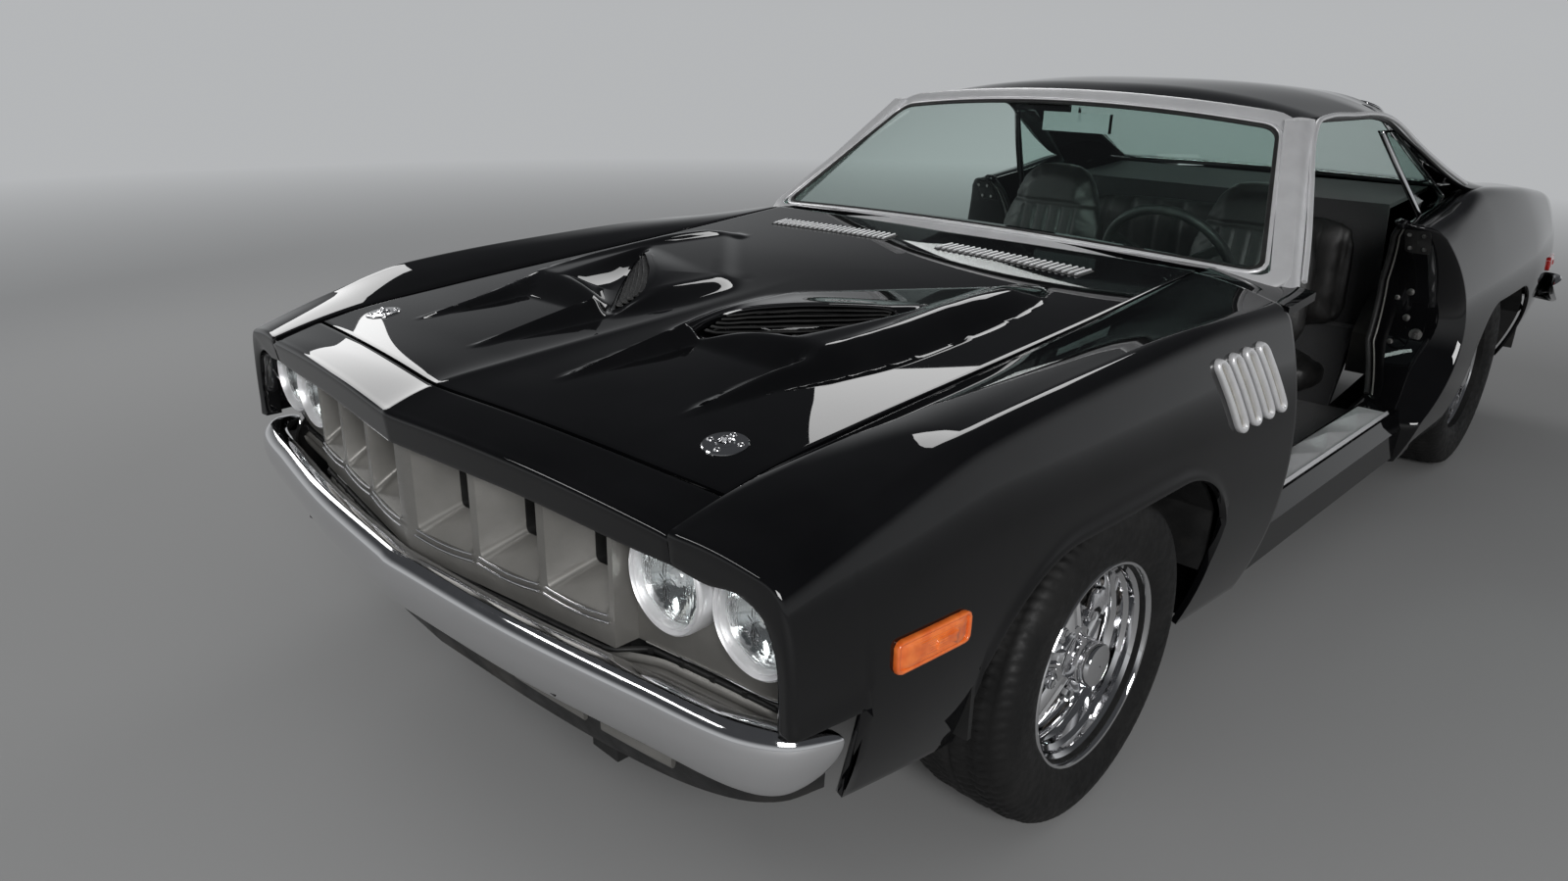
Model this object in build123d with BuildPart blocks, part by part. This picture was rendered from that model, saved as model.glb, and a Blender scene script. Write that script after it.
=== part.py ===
"""A two-door muscle car of the early 1970s, parked on its wheels with both doors off.

Millimetres. +X is the car's left, its front faces -Y, +Z is up, and the origin is on the ground
under the middle of the car.
"""

import os
from collections import namedtuple
from math import atan2, cos, degrees, hypot, radians, sin

from build123d import *

# Whole car
WHEELBASE = 2743
FRONT_AXLE = -1430
REAR_AXLE = FRONT_AXLE + WHEELBASE
HALF_WIDTH = 948
SKIN = 22
SHUT_GAP = 6
SWING_GAP = 9
SEAT_GAP = 0.3

# Nose, tail and the lines that part the panels
NOSE = FRONT_AXLE - 903
NOSE_SWEEP = 0.105
HOOD_FRONT = FRONT_AXLE - 799
HOOD_SWEEP = 0.117
HOOD_HALF = 672
HOOD_REAR = FRONT_AXLE + 704
HOOD_REAR_SWEEP = 0.043
HOOD_SKIN = 24
DOOR_FRONT = FRONT_AXLE + 722
TAIL = REAR_AXLE + 1010
DECK_HALF = 640
DECK_FRONT = REAR_AXLE + 100
DECK_REAR = TAIL - 34
LIP_BOTTOM = 750
CABIN_FLOOR = 236

# Hinge pins in the lids' edges: the hood's near its rear corners, the deck lid's at its front ones
PIN_RADIUS = 6
HOOD_PIN = (FRONT_AXLE + 715, 934)
DECK_PIN = (DECK_FRONT + 14, 990)

# Body sections: where each stands along the car from its axle, the heights of the centre line and
# of the hood or deck edge, then how far in from the widest point, and how high, the crease, the
# side and the foot of the panel are.
Row = namedtuple("Row", "along crown edge crease_in crease side_in side foot_in foot")
FRONT_ROWS = (
    Row(-960, 782, 733, 112, 722, 82, 600, 112, 395),
    Row(-800, 832, 792, 80, 777, 52, 640, 92, 385),
    Row(-630, 847, 828, 70, 832, 30, 646, 74, 372),
    Row(-416, 863, 850, 64, 886, 14, 650, 66, 350),
    Row(0, 894, 884, 62, 912, 2, 655, 62, 300),
    Row(300, 921, 908, 60, 919, 0, 668, 62, 250),
    Row(760, 958, 949, 54, 901, 0, 700, 62, 214),
)
REAR_ROWS = (
    Row(-850, 940, 936, 103, 934, 8, 690, 66, 214),
    Row(-480, 990, 966, 108, 968, 2, 690, 66, 214),
    Row(-172, 1012, 1000, 130, 1015, 0, 690, 66, 230),
    Row(357, 992, 984, 118, 985, 8, 690, 72, 330),
    Row(830, 956, 944, 128, 938, 42, 665, 92, 400),
    Row(1045, 935, 922, 145, 913, 70, 645, 110, 425),
)
BELT_INSIDE = 752

# Wheels, as (half track, radius, width), and the arches over them
RIM_RADIUS = 208
RIM_HALF = 108
BEAD_RADIUS = 193
TYRE_FRONT = (797, 329, 235)
TYRE_REAR = (765, 340, 255)
SPOKES = 5
KING_PIN = 720
SPINDLE_RADIUS = 22
ARCH_TOP = 657
ARCH_HALF = 415
ARCH_SHOULDER = 505


def car_plane(y):
    """The upright plane across the car at y, with X and Z as its directions."""
    return Plane.XZ.offset(-y)


def nose_y(x, start=NOSE, sweep=NOSE_SWEEP):
    """The y of a swept edge at x."""
    return start + abs(x) * sweep


def side_points(row):
    """Crease, side and foot of one body section, on the left."""
    crease = (HALF_WIDTH - row.crease_in, row.crease)
    side = (HALF_WIDTH - row.side_in, row.side)
    foot = (HALF_WIDTH - row.foot_in, row.foot)
    return crease, side, foot


def panel_section(row, axle, inside, wall):
    """The cut face of a side panel that runs from x = inside out over the crease to the foot."""
    crease, side, foot = side_points(row)
    top = (inside, row.edge)
    with BuildSketch(car_plane(axle + row.along)) as face:
        with BuildLine():
            Line(top, crease)
            ThreePointArc(crease, side, foot)
            Line(foot, (foot[0] - wall, foot[1]))
            ThreePointArc((foot[0] - wall, foot[1]), (side[0] - wall, side[1]), (crease[0] - wall, crease[1] - wall))
            Line((crease[0] - wall, crease[1] - wall), (inside, row.edge - wall))
            Line((inside, row.edge - wall), top)
        make_face()
    return face.sketch


def block_section(row, axle, inside):
    """The same outline filled in, from x = inside and down to the foot."""
    crease, side, foot = side_points(row)
    with BuildSketch(car_plane(axle + row.along)) as face:
        with BuildLine():
            Line((inside, row.edge), crease)
            ThreePointArc(crease, side, foot)
            Line(foot, (inside, row.foot))
            Line((inside, row.foot), (inside, row.edge))
        make_face()
    return face.sketch


def crown_section(row, axle, half, wall):
    """The cut face of a crowned lid that is 2 x half wide."""
    with BuildSketch(car_plane(axle + row.along)) as face:
        with BuildLine():
            ThreePointArc((-half, row.edge), (0, row.crown), (half, row.edge))
            Line((half, row.edge), (half, row.edge - wall))
            ThreePointArc((half, row.edge - wall), (0, row.crown - wall), (-half, row.edge - wall))
            Line((-half, row.edge - wall), (-half, row.edge))
        make_face()
    return face.sketch


def keep_plan(points):
    """Keep what lies inside a plan outline."""
    with BuildSketch(Plane.XY) as plan:
        with BuildLine():
            Polyline(*points, close=True)
        make_face()
    extrude(plan.sketch, amount=2000, mode=Mode.INTERSECT)


def keep_side(points):
    """Keep what lies inside a side outline of (y, z) points."""
    with BuildSketch(Plane.YZ.offset(-HALF_WIDTH * 2)) as side:
        with BuildLine():
            Polyline(*points, close=True)
        make_face()
    extrude(side.sketch, amount=HALF_WIDTH * 4, mode=Mode.INTERSECT)


def cut_arch(axle):
    """Cut a wheel arch with a flat top and rounded shoulders through the sides."""
    with BuildSketch(Plane.YZ.offset(-HALF_WIDTH * 2)) as arch:
        with BuildLine():
            Line((axle - ARCH_HALF, 0), (axle - ARCH_HALF, ARCH_SHOULDER))
            ThreePointArc((axle - ARCH_HALF, ARCH_SHOULDER), (axle - ARCH_HALF * 0.82, 600), (axle - ARCH_HALF * 0.45, ARCH_TOP))
            Line((axle - ARCH_HALF * 0.45, ARCH_TOP), (axle + ARCH_HALF * 0.45, ARCH_TOP))
            ThreePointArc((axle + ARCH_HALF * 0.45, ARCH_TOP), (axle + ARCH_HALF * 0.82, 600), (axle + ARCH_HALF, ARCH_SHOULDER))
            Line((axle + ARCH_HALF, ARCH_SHOULDER), (axle + ARCH_HALF, 0))
            Line((axle + ARCH_HALF, 0), (axle - ARCH_HALF, 0))
        make_face()
    extrude(arch.sketch, amount=HALF_WIDTH * 4, mode=Mode.SUBTRACT)


def side_prism(points, x0, x1, mode=Mode.ADD):
    """A prism on a side outline of (y, z) points, from x0 to x1."""
    with BuildSketch(Plane.YZ.offset(x0)) as outline:
        with BuildLine():
            Polyline(*points, close=True)
        make_face()
    extrude(outline.sketch, amount=x1 - x0, mode=mode)


def cross_prism(points, y0, y1, mode=Mode.ADD):
    """A prism on a cross outline of (x, z) points, from y0 to y1."""
    with BuildSketch(car_plane(y1)) as outline:
        with BuildLine():
            Polyline(*points, close=True)
        make_face()
    extrude(outline.sketch, amount=y1 - y0, mode=mode)


def side_pin(pin, radius, x0, x1, mode=Mode.ADD):
    """A round pin along X at (y, z), from x0 to x1."""
    with BuildSketch(Plane.YZ.offset(x0)) as disc:
        with Locations(pin):
            Circle(radius)
    extrude(disc.sketch, amount=x1 - x0, mode=mode)


def block(x0, x1, y0, y1, z0, z1, mode=Mode.ADD):
    """A box between two corners."""
    with Locations(((x0 + x1) / 2, (y0 + y1) / 2, (z0 + z1) / 2)):
        Box(x1 - x0, y1 - y0, z1 - z0, mode=mode)


# Hood, with two bulges, a swept scoop in each and two louvred vents at the back
BULGE_BASE_DROP = 12
Bulge = namedtuple("Bulge", "along inner outer rise")
BULGE_ROWS = (
    Bulge(-655, 165, 450, 3),
    Bulge(-290, 96, 384, 36),
    Bulge(90, 84, 352, 50),
    Bulge(330, 104, 352, 36),
    Bulge(590, 175, 340, 3),
)
BULGE_FLARE = 26
RIDGE_WIDTH = 22
SCOOP_INNER = (92, -290)
SCOOP_OUTER = (322, 60)
SCOOP_DEPTH = 190
SCOOP_ROOF = 12
VENT_X = 300
VENT_LENGTH = 365
VENT_DEPTH = 58
VENT_SLOTS = 14


def surface_z(rows, x, along, half):
    """Height of a crowned lid over x at a place along the car."""
    for front, back in zip(rows, rows[1:]):
        if front.along <= along <= back.along:
            share = (along - front.along) / (back.along - front.along)
            crown = front.crown + share * (back.crown - front.crown)
            edge = front.edge + share * (back.edge - front.edge)
            return crown - (crown - edge) * (x / half) ** 2
    return rows[-1].edge


with BuildPart() as bulge:
    for row in BULGE_ROWS:
        base = surface_z(FRONT_ROWS, (row.inner + row.outer) / 2, row.along, HOOD_HALF)
        with BuildSketch(car_plane(FRONT_AXLE + row.along)):
            with BuildLine():
                Polyline(
                    (row.inner - BULGE_FLARE, base - BULGE_BASE_DROP),
                    (row.inner, base + row.rise),
                    (row.outer, base + row.rise - 4),
                    (row.outer + BULGE_FLARE, base - BULGE_BASE_DROP),
                    close=True,
                )
            make_face()
    loft(ruled=True)
    with BuildSketch(Plane.XY.offset(500)):
        with BuildLine():
            Polyline(
                (165 + RIDGE_WIDTH, FRONT_AXLE - 700),
                (450 - RIDGE_WIDTH, FRONT_AXLE - 700),
                (450 - RIDGE_WIDTH, FRONT_AXLE - 655),
                (SCOOP_OUTER[0], FRONT_AXLE + SCOOP_OUTER[1]),
                (SCOOP_INNER[0] + RIDGE_WIDTH, FRONT_AXLE + SCOOP_INNER[1]),
                (165 + RIDGE_WIDTH, FRONT_AXLE - 655),
                close=True,
            )
        make_face()
    extrude(amount=1000, mode=Mode.SUBTRACT)
    with BuildSketch(Plane.XY.offset(500)):
        with BuildLine():
            Polyline(
                (SCOOP_INNER[0] + RIDGE_WIDTH, FRONT_AXLE + SCOOP_INNER[1] - 1),
                (SCOOP_OUTER[0], FRONT_AXLE + SCOOP_OUTER[1] - 1),
                (SCOOP_OUTER[0], FRONT_AXLE + SCOOP_OUTER[1] + SCOOP_DEPTH * 0.6),
                (SCOOP_INNER[0] + RIDGE_WIDTH, FRONT_AXLE + SCOOP_INNER[1] + SCOOP_DEPTH),
                close=True,
            )
        make_face()
    extrude(amount=surface_z(FRONT_ROWS, 200, -150, HOOD_HALF) + 34 - SCOOP_ROOF - 500, mode=Mode.SUBTRACT)

with BuildPart() as hood:
    loft([crown_section(row, FRONT_AXLE, HOOD_HALF, HOOD_SKIN) for row in FRONT_ROWS], ruled=True)
    keep_plan(
        [
            (-HOOD_HALF, nose_y(HOOD_HALF, HOOD_FRONT, HOOD_SWEEP)),
            (0, HOOD_FRONT),
            (HOOD_HALF, nose_y(HOOD_HALF, HOOD_FRONT, HOOD_SWEEP)),
            (HOOD_HALF, nose_y(HOOD_HALF, HOOD_REAR, HOOD_REAR_SWEEP)),
            (0, HOOD_REAR),
            (-HOOD_HALF, nose_y(HOOD_HALF, HOOD_REAR, HOOD_REAR_SWEEP)),
        ]
    )
    add(bulge.part)
    mirror(bulge.part, about=Plane.YZ)
    with Locations((VENT_X, FRONT_AXLE + 567, 900), (-VENT_X, FRONT_AXLE + 567, 900)):
        with GridLocations(VENT_LENGTH / VENT_SLOTS, 1, VENT_SLOTS, 1):
            Box(VENT_LENGTH / VENT_SLOTS * 0.5, VENT_DEPTH, 200, mode=Mode.SUBTRACT)
    side_pin(HOOD_PIN, PIN_RADIUS, HOOD_HALF - 10, HOOD_HALF + 20)
    side_pin(HOOD_PIN, PIN_RADIUS, -HOOD_HALF - 20, 10 - HOOD_HALF)

# Header over the grille, a skin with a deep front lip, between the two fenders
HEADER_HALF = HOOD_HALF + SHUT_GAP
with BuildPart() as header_panel:
    loft([crown_section(row, FRONT_AXLE, HEADER_HALF, SKIN) for row in FRONT_ROWS[:4]], ruled=True)
    keep_plan(
        [
            (-HEADER_HALF, nose_y(HEADER_HALF)),
            (0, NOSE),
            (HEADER_HALF, nose_y(HEADER_HALF)),
            (HEADER_HALF, nose_y(HEADER_HALF, HOOD_FRONT, HOOD_SWEEP) - SWING_GAP),
            (0, HOOD_FRONT - SWING_GAP),
            (-HEADER_HALF, nose_y(HEADER_HALF, HOOD_FRONT, HOOD_SWEEP) - SWING_GAP),
        ]
    )
with BuildPart() as header_lip:
    for row in FRONT_ROWS[:3]:
        with BuildSketch(car_plane(FRONT_AXLE + row.along)):
            with BuildLine():
                ThreePointArc((-HEADER_HALF, row.edge), (0, row.crown), (HEADER_HALF, row.edge))
                Polyline((HEADER_HALF, row.edge), (HEADER_HALF, 600), (-HEADER_HALF, 600), (-HEADER_HALF, row.edge))
            make_face()
    loft(ruled=True)
    keep_plan(
        [
            (-HEADER_HALF, nose_y(HEADER_HALF)),
            (0, NOSE),
            (HEADER_HALF, nose_y(HEADER_HALF)),
            (HEADER_HALF, nose_y(HEADER_HALF) + SKIN),
            (0, NOSE + SKIN),
            (-HEADER_HALF, nose_y(HEADER_HALF) + SKIN),
        ]
    )
    block(-1000, 1000, -3000, 0, 500, LIP_BOTTOM, mode=Mode.SUBTRACT)
with header_panel:
    add(header_lip.part)

# Front fenders: outer skin, lamp brow at the front and four slanted slots behind the wheel
GILL_SLOTS = 4
GILL_PITCH = 61
GILL_WIDTH = 30
GILL_FIRST = FRONT_AXLE + 440
GILL_TOP = 832
GILL_BOTTOM = 694
GILL_LEAN = 60
GILL_FRAME = 5


def gill_outline(centre, half):
    """Side outline of one slanted slot, top forward of bottom."""
    return [
        (centre - GILL_LEAN / 2 - half, GILL_TOP),
        (centre - GILL_LEAN / 2 + half, GILL_TOP),
        (centre + GILL_LEAN / 2 + half, GILL_BOTTOM),
        (centre + GILL_LEAN / 2 - half, GILL_BOTTOM),
    ]


with BuildPart() as fender_shell:
    loft([panel_section(row, FRONT_AXLE, HOOD_HALF + SHUT_GAP, SKIN) for row in FRONT_ROWS], ruled=True)
with BuildPart() as fender_brow:
    loft([block_section(row, FRONT_AXLE, HOOD_HALF + SHUT_GAP) for row in FRONT_ROWS[:3]], ruled=True)
    keep_plan(
        [
            (HOOD_HALF, nose_y(HOOD_HALF)),
            (HALF_WIDTH, nose_y(HALF_WIDTH)),
            (HALF_WIDTH, nose_y(HALF_WIDTH) + SKIN),
            (HOOD_HALF, nose_y(HOOD_HALF) + SKIN),
        ]
    )
    block(0, 1000, -3000, 0, 0, LIP_BOTTOM - 28, mode=Mode.SUBTRACT)
with BuildPart() as fender_left:
    add(fender_shell.part)
    keep_plan(
        [
            (HOOD_HALF, nose_y(HOOD_HALF)),
            (HALF_WIDTH + 50, nose_y(HALF_WIDTH + 50)),
            (HALF_WIDTH + 50, DOOR_FRONT),
            (HOOD_HALF, DOOR_FRONT),
        ]
    )
    add(fender_brow.part)
    cut_arch(FRONT_AXLE)
    for slot in range(GILL_SLOTS):
        side_prism(gill_outline(GILL_FIRST + slot * GILL_PITCH, GILL_WIDTH / 2), 500, 1500, mode=Mode.SUBTRACT)
    side_pin(HOOD_PIN, PIN_RADIUS + SEAT_GAP, HOOD_HALF, HOOD_HALF + 20 + SEAT_GAP, mode=Mode.SUBTRACT)
with BuildPart() as fender_right:
    mirror(fender_left.part, about=Plane.YZ)

with BuildPart() as gill_frames:
    loft([panel_section(row, FRONT_AXLE, HOOD_HALF + SHUT_GAP, SKIN) for row in FRONT_ROWS[3:]], ruled=True)
    with BuildSketch(Plane.YZ.offset(500)):
        for slot in range(GILL_SLOTS):
            centre = GILL_FIRST + slot * GILL_PITCH
            with BuildLine():
                Polyline(*gill_outline(centre, GILL_WIDTH / 2), close=True)
            make_face()
        for slot in range(GILL_SLOTS):
            centre = GILL_FIRST + slot * GILL_PITCH
            inner = [
                (y, z + (-GILL_FRAME if z > (GILL_TOP + GILL_BOTTOM) / 2 else GILL_FRAME))
                for y, z in gill_outline(centre, GILL_WIDTH / 2 - GILL_FRAME)
            ]
            with BuildLine():
                Polyline(*inner, close=True)
            make_face(mode=Mode.SUBTRACT)
    extrude(amount=1000, mode=Mode.INTERSECT)
    mirror(about=Plane.YZ)

# Quarter panels with the lock pillar's face at the door opening
LOCK_LOW = (REAR_AXLE - 789, 356)
LOCK_MID = (REAR_AXLE - 612, 690)
LOCK_TOP = (REAR_AXLE - 753, 960)
JAMB_DEPTH = 130


def lock_outline(back, forward=0):
    """Side outline behind the lock pillar's curved front edge, up to y = back."""
    Line((LOCK_LOW[0] + forward, 0), (LOCK_LOW[0] + forward, LOCK_LOW[1]))
    ThreePointArc(
        (LOCK_LOW[0] + forward, LOCK_LOW[1]),
        (LOCK_MID[0] + forward, LOCK_MID[1]),
        (LOCK_TOP[0] + forward, LOCK_TOP[1]),
    )
    Polyline((LOCK_TOP[0] + forward, LOCK_TOP[1]), (LOCK_TOP[0] + forward, 1100), (back, 1100), (back, 0))
    Line((back, 0), (LOCK_LOW[0] + forward, 0))


with BuildPart() as quarter_shell:
    loft([panel_section(row, REAR_AXLE, BELT_INSIDE, SKIN) for row in REAR_ROWS[:3]], ruled=True)
with BuildPart() as quarter_back:
    loft([panel_section(row, REAR_AXLE, DECK_HALF + SHUT_GAP, SKIN) for row in REAR_ROWS[2:]], ruled=True)
with BuildPart() as lock_pillar:
    loft([block_section(row, REAR_AXLE, HALF_WIDTH - JAMB_DEPTH - 60) for row in REAR_ROWS[:3]], ruled=True)
    with BuildSketch(Plane.YZ):
        with BuildLine():
            lock_outline(REAR_AXLE)
        make_face()
    extrude(amount=2000, mode=Mode.INTERSECT)
    with BuildSketch(Plane.YZ):
        with BuildLine():
            lock_outline(REAR_AXLE + 100, SKIN)
        make_face()
    extrude(amount=2000, mode=Mode.SUBTRACT)
with BuildPart() as quarter_left:
    add(quarter_shell.part)
    add(quarter_back.part)
    with BuildSketch(Plane.YZ):
        with BuildLine():
            lock_outline(TAIL)
        make_face()
    extrude(amount=2000, mode=Mode.INTERSECT)
    add(lock_pillar.part)
    cut_arch(REAR_AXLE)
    side_pin(DECK_PIN, PIN_RADIUS + SEAT_GAP, DECK_HALF, DECK_HALF + 20 + SEAT_GAP, mode=Mode.SUBTRACT)
with BuildPart() as quarter_right:
    mirror(quarter_left.part, about=Plane.YZ)

# Deck lid, the strip in front of it, the tail panel and its lamps
with BuildPart() as deck_skin:
    loft([crown_section(row, REAR_AXLE, DECK_HALF, HOOD_SKIN) for row in REAR_ROWS[2:]], ruled=True)
with BuildPart() as deck_lid:
    add(deck_skin.part)
    keep_plan([(-DECK_HALF, DECK_FRONT), (DECK_HALF, DECK_FRONT), (DECK_HALF, DECK_REAR), (-DECK_HALF, DECK_REAR)])
    side_pin(DECK_PIN, PIN_RADIUS, DECK_HALF - 10, DECK_HALF + 20)
    side_pin(DECK_PIN, PIN_RADIUS, -DECK_HALF - 20, 10 - DECK_HALF)
TULIP_FRONT = REAR_AXLE + 52
DECK_SWING = 17
with BuildPart() as tulip_panel:
    add(deck_skin.part)
    keep_plan(
        [
            (-DECK_HALF, TULIP_FRONT),
            (DECK_HALF, TULIP_FRONT),
            (DECK_HALF, DECK_FRONT - DECK_SWING),
            (-DECK_HALF, DECK_FRONT - DECK_SWING),
        ]
    )
    block(DECK_HALF, DECK_HALF + SHUT_GAP, TULIP_FRONT, DECK_FRONT - DECK_SWING, 960, 980)
    block(-DECK_HALF - SHUT_GAP, -DECK_HALF, TULIP_FRONT, DECK_FRONT - DECK_SWING, 960, 980)

TAIL_PANEL_BOTTOM = 560
TAIL_LAMP_Z = 760
TAIL_LAMP_X = 540
TAIL_LAMP_SIZE = (330, 120)
with BuildPart() as tail_block:
    for row in REAR_ROWS[-2:]:
        crease, side, foot = side_points(row)
        with BuildSketch(car_plane(REAR_AXLE + row.along)):
            with BuildLine():
                ThreePointArc((-DECK_HALF, row.edge), (0, row.crown), (DECK_HALF, row.edge))
                Line((DECK_HALF, row.edge), crease)
                ThreePointArc(crease, side, foot)
                Line(foot, (-foot[0], foot[1]))
                ThreePointArc((-foot[0], foot[1]), (-side[0], side[1]), (-crease[0], crease[1]))
                Line((-crease[0], crease[1]), (-DECK_HALF, row.edge))
            make_face()
    loft(ruled=True)
with BuildPart() as tail_panel:
    add(tail_block.part)
    keep_side([(DECK_REAR + SWING_GAP, TAIL_PANEL_BOTTOM), (TAIL, TAIL_PANEL_BOTTOM), (TAIL, 990), (DECK_REAR + SWING_GAP, 990)])
    add(quarter_left.part, mode=Mode.SUBTRACT)
    add(quarter_right.part, mode=Mode.SUBTRACT)
    block(-720, 720, TAIL - 12, TAIL + 10, TAIL_LAMP_Z - 80, TAIL_LAMP_Z + 80, mode=Mode.SUBTRACT)
with BuildPart() as tail_lamps:
    for side in (-1, 1):
        x = side * TAIL_LAMP_X
        block(x - 165, x + 165, TAIL - 12, TAIL + 2, TAIL_LAMP_Z - 60, TAIL_LAMP_Z + 60)

# Roof with its pillars
Roof = namedtuple("Roof", "y crown rail_x rail")
ROOF_ROWS = (
    Roof(FRONT_AXLE + 1222, 1300, 634, 1250),
    Roof(FRONT_AXLE + 1450, 1335, 656, 1262),
    Roof(FRONT_AXLE + 1760, 1348, 668, 1262),
    Roof(REAR_AXLE - 623, 1328, 640, 1238),
)
ROOF_SKIN = 26
Sail = namedtuple("Sail", "y inner_x inner outer_x outer")
SAIL_ROWS = (
    Sail(REAR_AXLE - 815, 630, 1262, 668, 1240),
    Sail(REAR_AXLE - 623, 566, 1284, 706, 1168),
    Sail(REAR_AXLE - 183, 588, 1120, 792, 1010),
    Sail(REAR_AXLE + 62, 606, 1012, 806, 1000),
)
SAIL_WALL = 26
PILLAR_FOOT_Z = 912
PILLAR_HEAD_Z = 1268
PILLAR_FOOT = [(792, 856), (840, 872), (838, 935), (800, 925)]
PILLAR_HEAD = [(622, 1252), (660, 1262), (664, 1330), (630, 1322)]

with BuildPart() as a_pillar:
    for height, outline in ((PILLAR_FOOT_Z, PILLAR_FOOT), (PILLAR_HEAD_Z, PILLAR_HEAD)):
        with BuildSketch(Plane.XY.offset(height)):
            with BuildLine():
                Polyline(*[(x, FRONT_AXLE + s) for x, s in outline], close=True)
            make_face()
    loft(ruled=True)
with BuildPart() as sail:
    for row in SAIL_ROWS:
        with BuildSketch(car_plane(row.y)):
            with BuildLine():
                Polyline(
                    (row.inner_x, row.inner),
                    (row.outer_x, row.outer),
                    (row.outer_x - SAIL_WALL, row.outer - SAIL_WALL * 0.6),
                    (row.inner_x - 8, row.inner - SAIL_WALL),
                    close=True,
                )
            make_face()
    loft(ruled=True)
with BuildPart() as roof:
    for row in ROOF_ROWS:
        with BuildSketch(car_plane(row.y)):
            with BuildLine():
                ThreePointArc((-row.rail_x, row.rail), (0, row.crown), (row.rail_x, row.rail))
                Line((row.rail_x, row.rail), (row.rail_x - 6, row.rail - ROOF_SKIN))
                ThreePointArc((row.rail_x - 6, row.rail - ROOF_SKIN), (0, row.crown - ROOF_SKIN), (6 - row.rail_x, row.rail - ROOF_SKIN))
                Line((6 - row.rail_x, row.rail - ROOF_SKIN), (-row.rail_x, row.rail))
            make_face()
    loft(ruled=True)
    add(a_pillar.part)
    mirror(a_pillar.part, about=Plane.YZ)
    add(sail.part)
    mirror(sail.part, about=Plane.YZ)
    for piece in (quarter_left, quarter_right, tulip_panel):
        add(piece.part, mode=Mode.SUBTRACT)

# Cowl: a trough behind the hood, a firewall below it and the shoulders beside the windshield
COWL_FRONT = DOOR_FRONT + SHUT_GAP
COWL_REAR = FRONT_AXLE + 905
TROUGH_REAR = FRONT_AXLE + 786
TROUGH_FLOOR = 884
COWL_SKIN = 20
with BuildPart() as cowl_panel:
    for y, crown, edge, crease_x, crease in (
        (COWL_FRONT, 956, 947, HALF_WIDTH - 54, 900),
        (COWL_REAR, 958, 938, HALF_WIDTH - 62, 908),
    ):
        with BuildSketch(car_plane(y)):
            with BuildLine():
                ThreePointArc((-HOOD_HALF, edge), (0, crown), (HOOD_HALF, edge))
                Polyline((HOOD_HALF, edge), (crease_x, crease), (crease_x, crease - COWL_SKIN), (HOOD_HALF, edge - COWL_SKIN))
                ThreePointArc((HOOD_HALF, edge - COWL_SKIN), (0, crown - COWL_SKIN), (-HOOD_HALF, edge - COWL_SKIN))
                Polyline((-HOOD_HALF, edge - COWL_SKIN), (-crease_x, crease - COWL_SKIN), (-crease_x, crease), (-HOOD_HALF, edge))
            make_face()
    loft(ruled=True)
    block(-HOOD_HALF - 12, HOOD_HALF + 12, COWL_FRONT - 1, TROUGH_REAR, 880, 1000, mode=Mode.SUBTRACT)
    block(-HOOD_HALF - 12, HOOD_HALF + 12, COWL_FRONT - 1, TROUGH_REAR + 14, TROUGH_FLOOR, TROUGH_FLOOR + 14)
    block(-HOOD_HALF - 12, HOOD_HALF + 12, TROUGH_REAR, TROUGH_REAR + 14, TROUGH_FLOOR, 940)
    block(HOOD_HALF + 12, HOOD_HALF + 26, COWL_FRONT - 1, TROUGH_REAR + 14, TROUGH_FLOOR, 925)
    block(-HOOD_HALF - 26, -HOOD_HALF - 12, COWL_FRONT - 1, TROUGH_REAR + 14, TROUGH_FLOOR, 925)

with roof:
    add(cowl_panel.part, mode=Mode.SUBTRACT)

# Glass
GLASS = 6


def glass_section(y, z, corner_x, corner_y, corner_z):
    """A curved strip of glass through (0, y, z) and its two corners, seen in their common plane."""
    rise = Vector(0, y - corner_y, z - corner_z).normalized()
    middle = (y - corner_y) / rise.Y if abs(rise.Y) > abs(rise.Z) else (z - corner_z) / rise.Z
    plane = Plane(origin=(0, corner_y, corner_z), x_dir=(1, 0, 0), z_dir=Vector(1, 0, 0).cross(rise))
    with BuildSketch(plane) as face:
        with BuildLine():
            ThreePointArc((-corner_x, 0), (0, middle), (corner_x, 0))
            Line((corner_x, 0), (corner_x, -GLASS))
            ThreePointArc((corner_x, -GLASS), (0, middle - GLASS), (-corner_x, -GLASS))
            Line((-corner_x, -GLASS), (-corner_x, 0))
        make_face()
    return face.sketch


with BuildPart() as windshield:
    base = glass_section(FRONT_AXLE + 776, 944, 815, FRONT_AXLE + 852, 916)
    head = glass_section(FRONT_AXLE + 1232, 1292, 626, FRONT_AXLE + 1282, 1252)
    loft([base, head], ruled=True)
    for piece in (roof, cowl_panel):
        add(piece.part, mode=Mode.SUBTRACT)
windshield.part = windshield.part.solids().sort_by(SortBy.VOLUME)[-1]
with BuildPart() as rear_window:
    base = glass_section(REAR_AXLE + 78, 1004, 600, REAR_AXLE + 60, 996)
    head = glass_section(REAR_AXLE - 640, 1318, 570, REAR_AXLE - 628, 1276)
    loft([base, head], ruled=True)
    for piece in (roof, tulip_panel):
        add(piece.part, mode=Mode.SUBTRACT)

QUARTER_GLASS = [(-762, 1212), (-500, 900), (-235, 985), (-640, 1212)]
GLASS_TILT = degrees(atan2(120, 320))
with BuildPart() as quarter_glass:
    slope = Plane(origin=(760, REAR_AXLE, 885), x_dir=(0, 1, 0), z_dir=(cos(radians(GLASS_TILT)), 0, sin(radians(GLASS_TILT))))
    with BuildSketch(slope):
        with BuildLine():
            Polyline(*[(along, (z - 885) / cos(radians(GLASS_TILT))) for along, z in QUARTER_GLASS], close=True)
        make_face()
    extrude(amount=-GLASS)
    mirror(about=Plane.YZ)
    for piece in (roof, quarter_left, quarter_right):
        add(piece.part, mode=Mode.SUBTRACT)

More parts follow.
